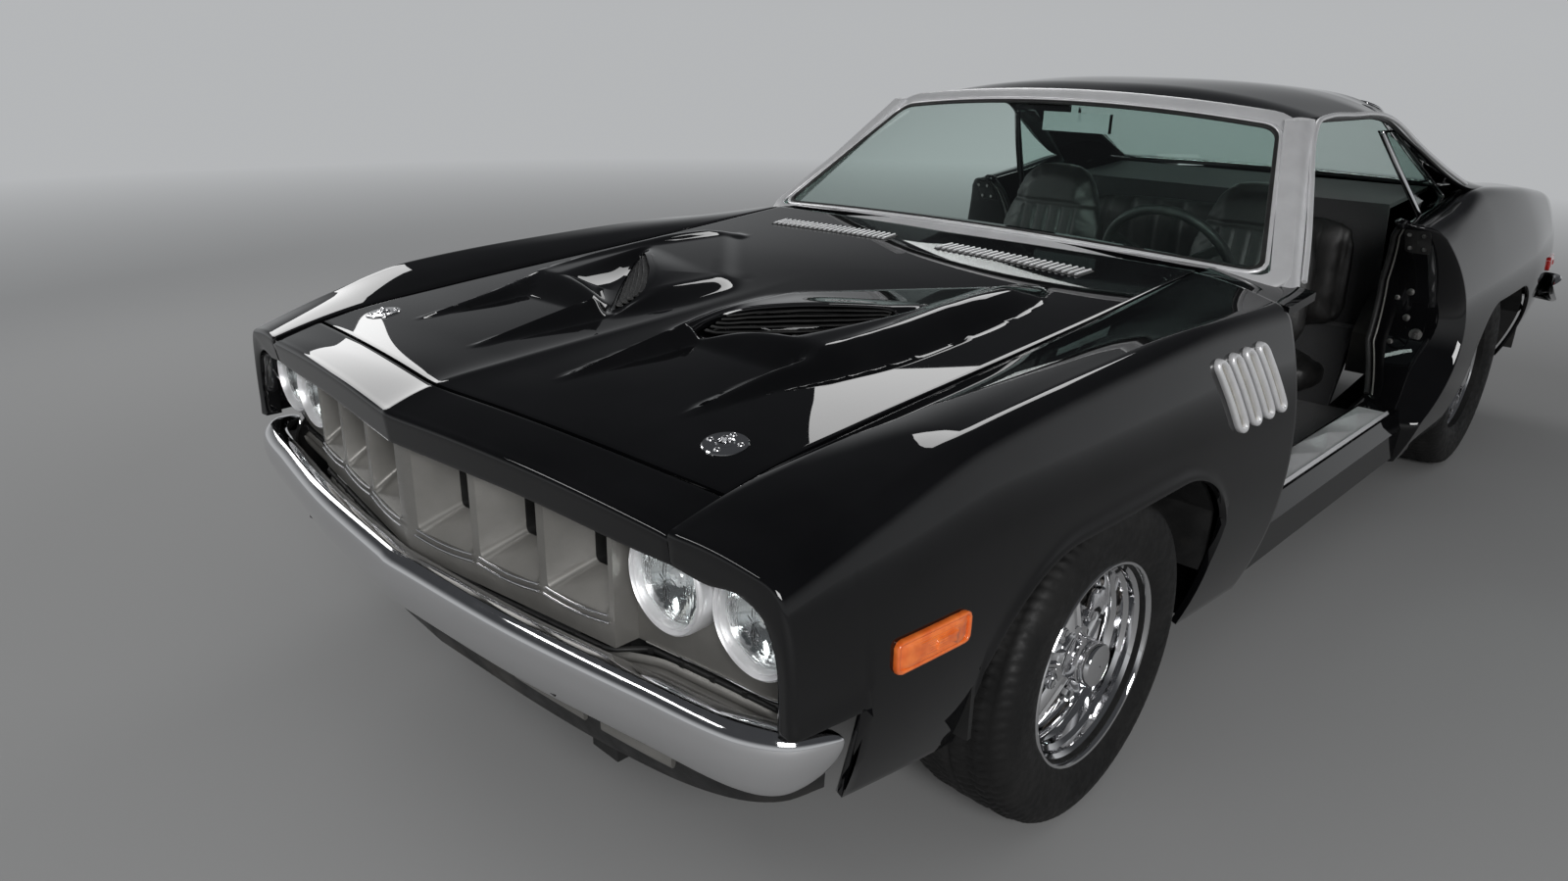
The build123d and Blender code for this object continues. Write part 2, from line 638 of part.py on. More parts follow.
# Grille: a swept moulding with three deep slots each side and two lamp pods each side
GRILLE_TOP = LIP_BOTTOM
GRILLE_BOTTOM = 540
GRILLE_HALF = 850
GRILLE_FACE = NOSE + 22
GRILLE_SWEEP = 0.135
GRILLE_BACK = FRONT_AXLE - 700
SLOT_EDGES = (22, 162, 312, 462)
SLOT_RIB = 9
SLOT_TOP = 742
SLOT_BOTTOM = 602
LAMPS = ((562, 604), (749, 619))
LAMP_RADIUS = 86
LAMP_BEZEL = 92
LAMP_FACE = FRONT_AXLE - 742


with BuildPart() as grille:
    with BuildSketch(Plane.XY.offset(GRILLE_BOTTOM)):
        with BuildLine():
            Polyline(
                (-GRILLE_HALF, nose_y(GRILLE_HALF, GRILLE_FACE, GRILLE_SWEEP)),
                (0, GRILLE_FACE),
                (GRILLE_HALF, nose_y(GRILLE_HALF, GRILLE_FACE, GRILLE_SWEEP)),
                (GRILLE_HALF, GRILLE_BACK),
                (-GRILLE_HALF, GRILLE_BACK),
                close=True,
            )
        make_face()
    extrude(amount=GRILLE_TOP - GRILLE_BOTTOM)
    for side in (-1, 1):
        for inner, outer in zip(SLOT_EDGES, SLOT_EDGES[1:]):
            with BuildSketch(car_plane(NOSE - 20)):
                with Locations((side * (inner + outer) / 2, (SLOT_TOP + SLOT_BOTTOM) / 2)):
                    RectangleRounded(outer - inner - 2 * SLOT_RIB, SLOT_TOP - SLOT_BOTTOM, 10)
            extrude(amount=-400, mode=Mode.SUBTRACT)
        for x, z in LAMPS:
            with BuildSketch(car_plane(NOSE - 20)):
                with Locations((side * x, z)):
                    Circle(LAMP_BEZEL)
            extrude(amount=-400, mode=Mode.SUBTRACT)
    for piece in (header_panel, fender_left, fender_right):
        add(piece.part, mode=Mode.SUBTRACT)

with BuildPart() as headlamps:
    with BuildSketch(Plane.XY):
        with BuildLine():
            Polyline((0, 30), (LAMP_RADIUS - 4, 30), (LAMP_RADIUS, -6), (LAMP_BEZEL, -10), (LAMP_BEZEL, 30), (60, 41), (0, 41), close=True)
        make_face()
        with BuildLine():
            ThreePointArc((0, 2), (LAMP_RADIUS * 0.55, 8), (LAMP_RADIUS - 4, 24))
            Polyline((LAMP_RADIUS - 4, 24), (LAMP_RADIUS - 4, 31), (0, 31), (0, 2))
        make_face()
    revolve(axis=Axis.Y)
lamp = headlamps.part
with BuildPart() as headlamps:
    with Locations(*[(side * x, LAMP_FACE, z) for side in (-1, 1) for x, z in LAMPS]):
        add(lamp)
    for piece in (grille, fender_left, fender_right):
        add(piece.part, mode=Mode.SUBTRACT)

# Bumpers: a pressed blade with a ridge, swept back at the nose and wrapped round the ends
Blade = namedtuple("Blade", "x y turn")
FRONT_BLADE = (
    Blade(0, FRONT_AXLE - 938, 0),
    Blade(640, FRONT_AXLE - 872, 8),
    Blade(800, FRONT_AXLE - 848, 22),
    Blade(882, FRONT_AXLE - 800, 48),
    Blade(930, FRONT_AXLE - 722, 72),
)
REAR_BLADE = (
    Blade(0, REAR_AXLE + 1057, 0),
    Blade(700, REAR_AXLE + 1046, -6),
    Blade(830, REAR_AXLE + 1024, -30),
    Blade(896, REAR_AXLE + 960, -65),
    Blade(916, REAR_AXLE + 840, -82),
)
BLADE_WALL = 12
FRONT_BLADE_PROFILE = [(40, 548), (8, 540), (0, 504), (12, 450), (48, 418)]
REAR_BLADE_PROFILE = [(40, 600), (8, 590), (0, 548), (8, 500), (40, 486)]


def blade_section(row, profile, facing):
    """One section of a bumper blade, turned about the upright and facing -Y or +Y."""
    out = Vector(sin(radians(row.turn)), -cos(radians(row.turn)), 0) * facing
    across = Vector(0, 0, 1).cross(out)
    plane = Plane(origin=(row.x, row.y, 0), x_dir=(-out.X, -out.Y, 0), z_dir=across)
    up = 1 if plane.y_dir.Z > 0 else -1
    outer = [(depth, up * z) for depth, z in profile]
    middle = sum(z for _, z in profile) / len(profile)
    inner = [(depth + BLADE_WALL, up * (z - BLADE_WALL * (z - middle) / abs(z - middle))) for depth, z in profile]
    with BuildSketch(plane) as face:
        with BuildLine():
            Polyline(*outer, *reversed(inner), close=True)
        make_face()
    return face.sketch


def half_bumper(rows, profile, facing):
    """The left half of a bumper, as a ruled loft through its rows."""
    with BuildPart() as half:
        loft([blade_section(row, profile, facing) for row in rows], ruled=True)
    return half.part


with BuildPart() as front_bumper:
    half = half_bumper(FRONT_BLADE, FRONT_BLADE_PROFILE, 1)
    add(half)
    mirror(half, about=Plane.YZ)
    for piece in (fender_left, fender_right, grille):
        add(piece.part, mode=Mode.SUBTRACT)
with BuildPart() as rear_bumper:
    half = half_bumper(REAR_BLADE, REAR_BLADE_PROFILE, -1)
    add(half)
    mirror(half, about=Plane.YZ)
    for piece in (quarter_left, quarter_right, tail_panel):
        add(piece.part, mode=Mode.SUBTRACT)

# Rockers, sill plates, floor and the panels that close the cabin
ROCKER_TOP = 380
SILL_IN = 755
SILL_OUT = 863
with BuildPart() as rockers:
    outline = [(SILL_IN, 232), (838, 206), (880, 232), (886, 330), (SILL_OUT, ROCKER_TOP), (SILL_IN, ROCKER_TOP)]
    cross_prism(outline, FRONT_AXLE + 520, REAR_AXLE - 520)
    mirror(about=Plane.YZ)
    for piece in (fender_left, fender_right, quarter_left, quarter_right):
        add(piece.part, mode=Mode.SUBTRACT)
with BuildPart() as sill_plates:
    block(SILL_IN + 4, SILL_OUT - 6, FRONT_AXLE + 880, FRONT_AXLE + 1900, ROCKER_TOP, ROCKER_TOP + 3)
    mirror(about=Plane.YZ)

FLOOR_SHEET = 10
TUNNEL_HALF = 130
TUNNEL_TOP = 470
FIREWALL_Y = FRONT_AXLE + 700
FLOOR_REAR = REAR_AXLE - 440
TRUNK_FLOOR = 500
with BuildPart() as floor_pan:
    upper = [
        (-SILL_IN, CABIN_FLOOR + FLOOR_SHEET),
        (-TUNNEL_HALF - 30, CABIN_FLOOR + FLOOR_SHEET),
        (-TUNNEL_HALF + 30, TUNNEL_TOP),
        (TUNNEL_HALF - 30, TUNNEL_TOP),
        (TUNNEL_HALF + 30, CABIN_FLOOR + FLOOR_SHEET),
        (SILL_IN, CABIN_FLOOR + FLOOR_SHEET),
    ]
    lower = [(x * (1 if abs(x) > TUNNEL_HALF + 40 else 0.94), z - FLOOR_SHEET) for x, z in upper]
    cross_prism(upper + lower[::-1], FIREWALL_Y, FLOOR_REAR)
    hollow = lower[1:5]
    side_prism(
        [
            (FLOOR_REAR, CABIN_FLOOR),
            (FLOOR_REAR + 120, TRUNK_FLOOR),
            (TAIL - 24, TRUNK_FLOOR),
            (TAIL - 24, TRUNK_FLOOR + FLOOR_SHEET),
            (FLOOR_REAR + 112, TRUNK_FLOOR + FLOOR_SHEET),
            (FLOOR_REAR - 10, CABIN_FLOOR + FLOOR_SHEET),
            (FLOOR_REAR - 10, CABIN_FLOOR),
        ],
        -560,
        560,
    )
    cross_prism(upper[1:5], FLOOR_REAR, FLOOR_REAR + 118)
    cross_prism(hollow, FLOOR_REAR - 20, FLOOR_REAR + 140, mode=Mode.SUBTRACT)
with BuildPart() as firewall:
    block(-700, 700, FIREWALL_Y - 14, FIREWALL_Y, CABIN_FLOOR, TROUGH_FLOOR)
    cross_prism(hollow, FIREWALL_Y - 20, FIREWALL_Y + 10, mode=Mode.SUBTRACT)
PILLAR_INSIDE = 700
with BuildPart() as hinge_pillars:
    block(PILLAR_INSIDE, SILL_OUT, FIREWALL_Y - 14, FIREWALL_Y + 90, ROCKER_TOP, TROUGH_FLOOR)
    mirror(about=Plane.YZ)
    for piece in (fender_left, fender_right, cowl_panel, roof):
        add(piece.part, mode=Mode.SUBTRACT)
with cowl_panel:
    block(-HOOD_HALF - 26, HOOD_HALF + 26, FIREWALL_Y - 14, COWL_FRONT, TROUGH_FLOOR, TROUGH_FLOOR + 14)

with BuildPart() as package_shelf:
    side_prism(
        [
            (REAR_AXLE - 360, 955),
            (REAR_AXLE + 40, 985),
            (REAR_AXLE + 40, 971),
            (REAR_AXLE - 350, 941),
            (REAR_AXLE - 250, TRUNK_FLOOR + FLOOR_SHEET),
            (REAR_AXLE - 262, TRUNK_FLOOR + FLOOR_SHEET),
        ],
        -600,
        600,
    )

# Instrument panel, steering column and wheel
COLUMN_X = 370
WHEEL_HUB = (COLUMN_X, FRONT_AXLE + 1255, 842)
COLUMN_RAKE = 24
WHEEL_RADIUS = 190
with BuildPart() as dashboard:
    side_prism(
        [
            (FRONT_AXLE + 812, 925),
            (FRONT_AXLE + 1010, 925),
            (FRONT_AXLE + 1060, 890),
            (FRONT_AXLE + 1050, 720),
            (FRONT_AXLE + 960, 640),
            (FRONT_AXLE + 930, 640),
            (FRONT_AXLE + 940, 860),
            (FRONT_AXLE + 812, 895),
        ],
        -740,
        740,
    )
    block(-740, 740, FIREWALL_Y, FRONT_AXLE + 815, 860, 880)
    for piece in (cowl_panel, windshield, roof, hinge_pillars):
        add(piece.part, mode=Mode.SUBTRACT)

COLUMN_AXIS = Vector(0, cos(radians(COLUMN_RAKE)), sin(radians(COLUMN_RAKE)))
COLUMN_PLANE = Plane(origin=WHEEL_HUB, x_dir=(1, 0, 0), z_dir=COLUMN_AXIS)
COLUMN_LENGTH = (WHEEL_HUB[1] - FIREWALL_Y) / cos(radians(COLUMN_RAKE))
with BuildPart() as steering_column:
    with BuildSketch(COLUMN_PLANE.offset(-60)):
        Circle(28)
    extrude(amount=-(COLUMN_LENGTH - 60))
    add(firewall.part, mode=Mode.SUBTRACT)
with dashboard:
    add(steering_column.part, mode=Mode.SUBTRACT)
with BuildPart() as steering_wheel:
    with BuildSketch(COLUMN_PLANE.offset(-60 + SEAT_GAP)):
        Circle(26)
    extrude(amount=50)
    with BuildSketch(COLUMN_PLANE.offset(-16)):
        Circle(46)
        for spoke in range(3):
            with Locations(Location((0, 0, 0), (0, 0, 1), 90 + 120 * spoke)):
                Rectangle(WHEEL_RADIUS, 26, align=(Align.MIN, Align.CENTER))
    extrude(amount=12)
    with BuildSketch(Plane(origin=WHEEL_HUB, x_dir=COLUMN_AXIS, z_dir=(1, 0, 0))):
        with Locations((-8, WHEEL_RADIUS)):
            Circle(14)
    revolve(axis=Axis(WHEEL_HUB, COLUMN_AXIS))

# Seats: cushion and high back each, and a rear bench
SEAT_X = 370
SEAT_HALF = 250
SEAT_BASE = CABIN_FLOOR + FLOOR_SHEET


def bucket_seat(x):
    """A high-backed bucket seat on its pedestal."""
    with BuildPart() as seat:
        side_prism(
            [
                (FRONT_AXLE + 1300, SEAT_BASE + 160),
                (FRONT_AXLE + 1310, SEAT_BASE + 300),
                (FRONT_AXLE + 1400, SEAT_BASE + 330),
                (FRONT_AXLE + 1700, SEAT_BASE + 270),
                (FRONT_AXLE + 1760, SEAT_BASE + 300),
                (FRONT_AXLE + 1850, SEAT_BASE + 845),
                (FRONT_AXLE + 1945, SEAT_BASE + 845),
                (FRONT_AXLE + 1960, SEAT_BASE + 760),
                (FRONT_AXLE + 1880, SEAT_BASE + 170),
            ],
            x - SEAT_HALF,
            x + SEAT_HALF,
        )
        block(x - SEAT_HALF + 75, x + SEAT_HALF - 75, FRONT_AXLE + 1380, FRONT_AXLE + 1820, SEAT_BASE, SEAT_BASE + 165)
    return seat.part


with BuildPart() as front_seats:
    add(bucket_seat(SEAT_X))
    add(bucket_seat(-SEAT_X))
with BuildPart() as rear_seat:
    side_prism(
        [
            (FLOOR_REAR - 260, SEAT_BASE),
            (FLOOR_REAR - 280, SEAT_BASE + 220),
            (FLOOR_REAR + 40, SEAT_BASE + 190),
            (REAR_AXLE - 430, 955),
            (REAR_AXLE - 362, 955),
            (REAR_AXLE - 264, TRUNK_FLOOR + FLOOR_SHEET),
            (FLOOR_REAR + 110, TRUNK_FLOOR + FLOOR_SHEET),
            (FLOOR_REAR - 12, SEAT_BASE),
        ],
        -580,
        580,
    )
    cross_prism(hollow, FLOOR_REAR - 300, FLOOR_REAR + 140, mode=Mode.SUBTRACT)
    for piece in (floor_pan, package_shelf):
        add(piece.part, mode=Mode.SUBTRACT)

# Engine, gearbox, driveshaft and rear axle
AXLE_Z = TYRE_REAR[1]
HUB_Z = TYRE_FRONT[1]
RAIL_X = 430
RAIL_WIDTH = 70
RAIL_FRONT = FRONT_AXLE - 776
RAIL_BOTTOM = 272
RAIL_TOP = 380
ENGINE_BOTTOM = 312
BUMPER_ARM_Z = 475
CROSS_HALF = RAIL_X - RAIL_WIDTH / 2
with BuildPart() as engine_block:
    cross_prism(
        [(-150, ENGINE_BOTTOM), (150, ENGINE_BOTTOM), (190, 500), (290, 640), (210, 760), (-210, 760), (-290, 640), (-190, 500)],
        FRONT_AXLE - 230,
        FRONT_AXLE + 420,
    )
with BuildPart() as gearbox:
    cross_prism([(-110, 262), (110, 262), (100, 400), (-100, 400)], FRONT_AXLE + 420, FRONT_AXLE + 1120)
with BuildPart() as driveshaft:
    with BuildSketch(car_plane(FRONT_AXLE + 1120)):
        with Locations((0, AXLE_Z)):
            Circle(38)
    extrude(amount=-(REAR_AXLE - 170 - (FRONT_AXLE + 1120)))
with BuildPart() as rear_axle:
    with BuildSketch(Plane.YZ.offset(-TYRE_REAR[0] + 70)):
        with Locations((REAR_AXLE, AXLE_Z)):
            Circle(40)
    extrude(amount=2 * (TYRE_REAR[0] - 70))
    with BuildSketch(Plane.YZ.offset(-TYRE_REAR[0] - 30)):
        with Locations((REAR_AXLE, AXLE_Z)):
            Circle(SPINDLE_RADIUS)
    extrude(amount=2 * (TYRE_REAR[0] + 30))
    with BuildSketch(Plane.YZ.offset(-110)):
        with Locations((REAR_AXLE, AXLE_Z)):
            Circle(130)
    extrude(amount=220)
    with BuildSketch(car_plane(REAR_AXLE)):
        with Locations((0, AXLE_Z)):
            Circle(60)
    extrude(amount=170)
    for side in (-1, 1):
        with BuildSketch(Plane.YZ.offset(side * (TYRE_REAR[0] - 60))):
            with Locations((REAR_AXLE, AXLE_Z)):
                Circle(140)
        extrude(amount=35, both=True)

# Frame rails and cross members
with BuildPart() as radiator_support:
    block(-700, 700, GRILLE_BACK, GRILLE_BACK + 24, RAIL_TOP, 770)
    block(-330, 330, GRILLE_BACK + 24, FRONT_AXLE - 610, 400, 760)

with BuildPart() as front_frame:
    block(-CROSS_HALF, CROSS_HALF, FRONT_AXLE - 70, FRONT_AXLE + 70, RAIL_BOTTOM - 6, ENGINE_BOTTOM)
    block(-RAIL_X, RAIL_X, GRILLE_BACK, GRILLE_BACK + 60, RAIL_BOTTOM + 20, RAIL_TOP - 20)
    for side in (-1, 1):
        x = side * RAIL_X
        block(x - RAIL_WIDTH / 2, x + RAIL_WIDTH / 2, RAIL_FRONT, FIREWALL_Y, RAIL_BOTTOM, RAIL_TOP)
        block(x - 30, x + 30, RAIL_FRONT, RAIL_FRONT + 40, RAIL_TOP, BUMPER_ARM_Z + 25)
        block(x - 30, x + 30, FRONT_AXLE - 886, RAIL_FRONT + 40, BUMPER_ARM_Z - 25, BUMPER_ARM_Z + 25)
    for piece in (firewall, front_bumper, grille, radiator_support):
        add(piece.part, mode=Mode.SUBTRACT)
with BuildPart() as rear_frame:
    for side in (-1, 1):
        x = side * 520
        side_prism(
            [
                (REAR_AXLE - 640, 214),
                (REAR_AXLE - 640, CABIN_FLOOR),
                (FLOOR_REAR, CABIN_FLOOR),
                (FLOOR_REAR + 120, TRUNK_FLOOR),
                (TAIL - 20, TRUNK_FLOOR),
                (TAIL - 20, TRUNK_FLOOR - 70),
                (FLOOR_REAR + 150, TRUNK_FLOOR - 70),
                (FLOOR_REAR + 20, 214),
            ],
            x - 35,
            x + 35,
        )

# Valances below the bumpers
with BuildPart() as front_valance:
    for height, inset in ((400, 0), (300, 24)):
        with BuildSketch(Plane.XY.offset(height)):
            with BuildLine():
                Polyline(
                    (-840, NOSE + 120 + inset),
                    (0, NOSE + 40 + inset),
                    (840, NOSE + 120 + inset),
                    (840, NOSE + 132 + inset),
                    (0, NOSE + 52 + inset),
                    (-840, NOSE + 132 + inset),
                    close=True,
                )
            make_face()
    loft(ruled=True)
    for piece in (fender_left, fender_right, front_frame):
        add(piece.part, mode=Mode.SUBTRACT)
with BuildPart() as rear_valance:
    for height, inset in ((TAIL_PANEL_BOTTOM, 0), (340, 60)):
        with BuildSketch(Plane.XY.offset(height)):
            block_y = TAIL - inset
            with Locations((0, block_y - 6)):
                Rectangle(1660, 12)
    loft(ruled=True)
    for piece in (quarter_left, quarter_right, rear_bumper, floor_pan, rear_frame):
        add(piece.part, mode=Mode.SUBTRACT)

# Front suspension arms, knuckles and the steering link
ARM_LOW_Z = 190
ARM_HIGH_Z = 462
ARM_THICK = 26
KING_PIN_RADIUS = 12
LINK_Y = FRONT_AXLE + 100
LINK_END = KING_PIN - 30
LINK_Z = 236
LINK_RADIUS = 11
with BuildPart() as control_arms:
    for z, inboard, spread in ((ARM_LOW_Z, 400, 130), (ARM_HIGH_Z, 470, 90)):
        with BuildSketch(Plane.XY.offset(z - ARM_THICK / 2)):
            with BuildLine():
                Polyline(
                    (KING_PIN, FRONT_AXLE - 24),
                    (KING_PIN, FRONT_AXLE + 24),
                    (inboard, FRONT_AXLE + spread),
                    (inboard, FRONT_AXLE - spread),
                    close=True,
                )
            make_face()
            with Locations((KING_PIN, FRONT_AXLE)):
                Circle(26)
                Circle(KING_PIN_RADIUS + SEAT_GAP, mode=Mode.SUBTRACT)
        extrude(amount=ARM_THICK)
    block(RAIL_X - 30, RAIL_X + RAIL_WIDTH / 2, FRONT_AXLE - 60, FRONT_AXLE + 60, ARM_LOW_Z - 13, RAIL_BOTTOM)
    block(RAIL_X - 30, RAIL_X + 45, FRONT_AXLE - 80, FRONT_AXLE + 80, RAIL_TOP, ARM_HIGH_Z + 60)
    mirror(about=Plane.YZ)


def knuckle():
    """A left steering knuckle: king pin, spindle, brake disc and steering arm."""
    with BuildPart() as part:
        with BuildSketch(Plane.XY.offset(ARM_LOW_Z - ARM_THICK / 2)):
            with Locations((KING_PIN, FRONT_AXLE)):
                Circle(KING_PIN_RADIUS)
        extrude(amount=ARM_HIGH_Z - ARM_LOW_Z + ARM_THICK)
        block(KING_PIN - 22, KING_PIN + 22, FRONT_AXLE - 30, FRONT_AXLE + 30, ARM_LOW_Z + 19, ARM_HIGH_Z - 19)
        with BuildSketch(Plane.YZ.offset(KING_PIN)):
            with Locations((FRONT_AXLE, HUB_Z)):
                Circle(SPINDLE_RADIUS)
        extrude(amount=TYRE_FRONT[0] + 30 - KING_PIN)
        with BuildSketch(Plane.YZ.offset(KING_PIN + 22)):
            with Locations((FRONT_AXLE, HUB_Z)):
                Circle(115)
        extrude(amount=22)
        block(LINK_END - 12, KING_PIN + 4, FRONT_AXLE + 20, LINK_Y + 14, LINK_Z + LINK_RADIUS + 5, LINK_Z + LINK_RADIUS + 23)
    return part.part


with BuildPart() as knuckle_left:
    add(knuckle())
with BuildPart() as knuckle_right:
    mirror(knuckle_left.part, about=Plane.YZ)
with BuildPart() as steering_link:
    with BuildSketch(Plane.YZ.offset(-LINK_END)):
        with Locations((LINK_Y, LINK_Z)):
            Circle(LINK_RADIUS)
    extrude(amount=2 * LINK_END)
with front_frame:
    for side in (-1, 1):
        with BuildSketch(Plane.YZ.offset(side * RAIL_X - 15)):
            with Locations((LINK_Y, LINK_Z)):
                Circle(24)
            with Locations((LINK_Y, LINK_Z + 30)):
                Rectangle(48, 60)
            with Locations((LINK_Y, LINK_Z)):
                Circle(LINK_RADIUS + SEAT_GAP, mode=Mode.SUBTRACT)
        extrude(amount=30)

# Rear springs, exhaust and fuel tank
SPRING_X = 590
with BuildPart() as leaf_springs:
    with BuildSketch(Plane.YZ.offset(SPRING_X - 32)):
        with BuildLine():
            ThreePointArc((REAR_AXLE - 600, 206), (REAR_AXLE, AXLE_Z - 58), (REAR_AXLE + 720, 400))
            Line((REAR_AXLE + 720, 400), (REAR_AXLE + 720, 418))
            ThreePointArc((REAR_AXLE + 720, 418), (REAR_AXLE, AXLE_Z - 40), (REAR_AXLE - 600, 224))
            Line((REAR_AXLE - 600, 224), (REAR_AXLE - 600, 206))
        make_face()
    extrude(amount=64)
    block(SPRING_X - 90, SPRING_X + 20, REAR_AXLE - 620, REAR_AXLE - 590, 216, CABIN_FLOOR)
    block(SPRING_X - 90, SPRING_X + 20, REAR_AXLE + 700, REAR_AXLE + 735, 395, TRUNK_FLOOR)
    mirror(about=Plane.YZ)
    for piece in (rear_axle, rear_frame, floor_pan):
        add(piece.part, mode=Mode.SUBTRACT)

PIPE_RADIUS = 32
PIPE_BEND = 55
with BuildPart() as exhaust:
    route = [
        (150, FRONT_AXLE + 420, 400),
        (150, FRONT_AXLE + 490, 400),
        (230, FRONT_AXLE + 650, 196),
        (230, REAR_AXLE - 420, 196),
        (300, REAR_AXLE - 150, 440),
        (400, REAR_AXLE + 150, 440),
        (430, REAR_AXLE + 420, 300),
        (430, TAIL + 10, 300),
    ]
    with BuildLine():
        FilletPolyline(*route, radius=PIPE_BEND)
    with BuildSketch(Plane(origin=route[0], z_dir=Vector(*route[1]) - Vector(*route[0]))):
        Circle(PIPE_RADIUS)
    sweep()
    with BuildSketch(car_plane(REAR_AXLE - 480)):
        with Locations((230, 196)):
            Ellipse(110, 38)
    extrude(amount=560)
    mirror(about=Plane.YZ)

with BuildPart() as fuel_tank:
    block(-330, 330, REAR_AXLE + 430, TAIL - 120, 280, TRUNK_FLOOR)

# Inner wheel houses
HOUSE_WALL = 10
HOUSE_TOP = 740
with BuildPart() as wheel_houses:
    for axle, inside, radius in ((FRONT_AXLE, 480, 430), (REAR_AXLE, 585, 425)):
        with BuildSketch(Plane.YZ.offset(inside)):
            with BuildLine():
                Line((axle - radius, RAIL_TOP), (axle + radius, RAIL_TOP))
                Line((axle + radius, RAIL_TOP), (axle + radius, 520))
                ThreePointArc((axle + radius, 520), (axle, HOUSE_TOP), (axle - radius, 520))
                Line((axle - radius, 520), (axle - radius, RAIL_TOP))
            make_face()
        extrude(amount=HALF_WIDTH - SKIN - inside - 6)
        with BuildSketch(Plane.YZ.offset(inside + HOUSE_WALL)):
            with BuildLine():
                wall = HOUSE_WALL
                Line((axle - radius + wall, 0), (axle + radius - wall, 0))
                Line((axle + radius - wall, 0), (axle + radius - wall, 520))
                ThreePointArc((axle + radius - wall, 520), (axle, HOUSE_TOP - wall), (axle - radius + wall, 520))
                Line((axle - radius + wall, 520), (axle - radius + wall, 0))
            make_face()
        extrude(amount=1000, mode=Mode.SUBTRACT)
    mirror(about=Plane.YZ)
    for piece in (fender_left, fender_right, quarter_left, quarter_right, radiator_support, rear_seat, package_shelf, control_arms):
        add(piece.part, mode=Mode.SUBTRACT)

# Side marker lamps
MARKERS = ((FRONT_AXLE - 554, 616, 908), (REAR_AXLE + 830, 663, 890))
with BuildPart() as side_markers:
    for y, z, x in MARKERS:
        block(x, x + 24, y - 75, y + 75, z - 22, z + 22)
    mirror(about=Plane.YZ)
    for piece in (fender_left, fender_right, quarter_left, quarter_right):
        add(piece.part, mode=Mode.SUBTRACT)

# Rear-view mirror
with BuildPart() as mirror_inside:
    block(-110, 110, FRONT_AXLE + 1300, FRONT_AXLE + 1318, 1190, 1245)
    block(-12, 12, FRONT_AXLE + 1290, FRONT_AXLE + 1306, 1220, 1298)
    add(roof.part, mode=Mode.SUBTRACT)


def rim(half_track, radius):
    """A left five-spoke rim with its barrel, hub and cap."""
    with BuildPart() as part:
        with BuildSketch(Plane.XZ):
            with BuildLine():
                Polyline(
                    (-RIM_HALF, RIM_RADIUS),
                    (-RIM_HALF + 10, RIM_RADIUS),
                    (-RIM_HALF + 12, BEAD_RADIUS),
                    (-50, BEAD_RADIUS - 3),
                    (-40, 166),
                    (40, 166),
                    (50, BEAD_RADIUS - 3),
                    (RIM_HALF - 12, BEAD_RADIUS),
                    (RIM_HALF - 10, RIM_RADIUS),
                    (RIM_HALF, RIM_RADIUS),
                    (RIM_HALF, 196),
                    (RIM_HALF - 6, 181),
                    (56, 178),
                    (46, 154),
                    (-46, 154),
                    (-56, 178),
                    (-RIM_HALF + 6, 181),
                    (-RIM_HALF, 196),
                    close=True,
                )
            make_face()
            with BuildLine():
                Polyline((0, 0), (0, 70), (70, 62), (96, 40), (112, 34), (112, 0), close=True)
            make_face()
        revolve(axis=Axis.X)
        with BuildSketch(Plane.YZ.offset(30)):
            for spoke in range(SPOKES):
                with Locations(Location((0, 0, 0), (0, 0, 1), 90 + 360 / SPOKES * spoke)):
                    with BuildLine():
                        Polyline((30, -34), (30, 34), (172, 22), (172, -22), close=True)
                    make_face()
        extrude(amount=30)
        with BuildSketch(Plane.YZ):
            Circle(SPINDLE_RADIUS + SEAT_GAP)
        extrude(amount=30 + SEAT_GAP, mode=Mode.SUBTRACT)
    return part.part


def tyre(radius, width):
    """A tyre with rounded shoulders, as one closed ring."""
    half = width / 2
    bead = RIM_HALF - 13
    with BuildPart() as part:
        with BuildSketch(Plane.XZ):
            with BuildLine():
                Line((-bead, BEAD_RADIUS), (-bead, RIM_RADIUS + 1))
                ThreePointArc((-bead, RIM_RADIUS + 1), (-half, (RIM_RADIUS + radius) / 2), (-half + 22, radius - 18))
                ThreePointArc((-half + 22, radius - 18), (0, radius), (half - 22, radius - 18))
                ThreePointArc((half - 22, radius - 18), (half, (RIM_RADIUS + radius) / 2), (bead, RIM_RADIUS + 1))
                Line((bead, RIM_RADIUS + 1), (bead, BEAD_RADIUS))
                Line((bead, BEAD_RADIUS), (-bead, BEAD_RADIUS))
            make_face()
        revolve(axis=Axis.X)
    return part.part


os.makedirs("parts", exist_ok=True)


def write(part, name):
    """Label a finished piece and write its STEP file."""
    part.label = name
    export_step(part, f"parts/{name}.step")


CORNERS = (
    ("front", FRONT_AXLE, TYRE_FRONT),
    ("rear", REAR_AXLE, TYRE_REAR),
)
for end, axle, (track, radius, width) in CORNERS:
    for side_name, side in (("left", 1), ("right", -1)):
        with BuildPart() as wheel_rim:
            with Locations((track, axle, radius)):
                add(rim(track, radius))
        with BuildPart() as wheel_tyre:
            with Locations((track, axle, radius)):
                add(tyre(radius, width))
        for name, piece in ((f"rim_{end}_{side_name}", wheel_rim), (f"tyre_{end}_{side_name}", wheel_tyre)):
            write(piece.part if side > 0 else mirror(piece.part, about=Plane.YZ), name)

# Like pieces that share a node
with BuildPart() as fenders:
    add([fender_left.part, fender_right.part])
with BuildPart() as quarter_panels:
    add([quarter_left.part, quarter_right.part])
with BuildPart() as rear_glass:
    add([rear_window.part, quarter_glass.part])
with BuildPart() as valances:
    add([front_valance.part, rear_valance.part])
with BuildPart() as frame_rails:
    add([front_frame.part, rear_frame.part])

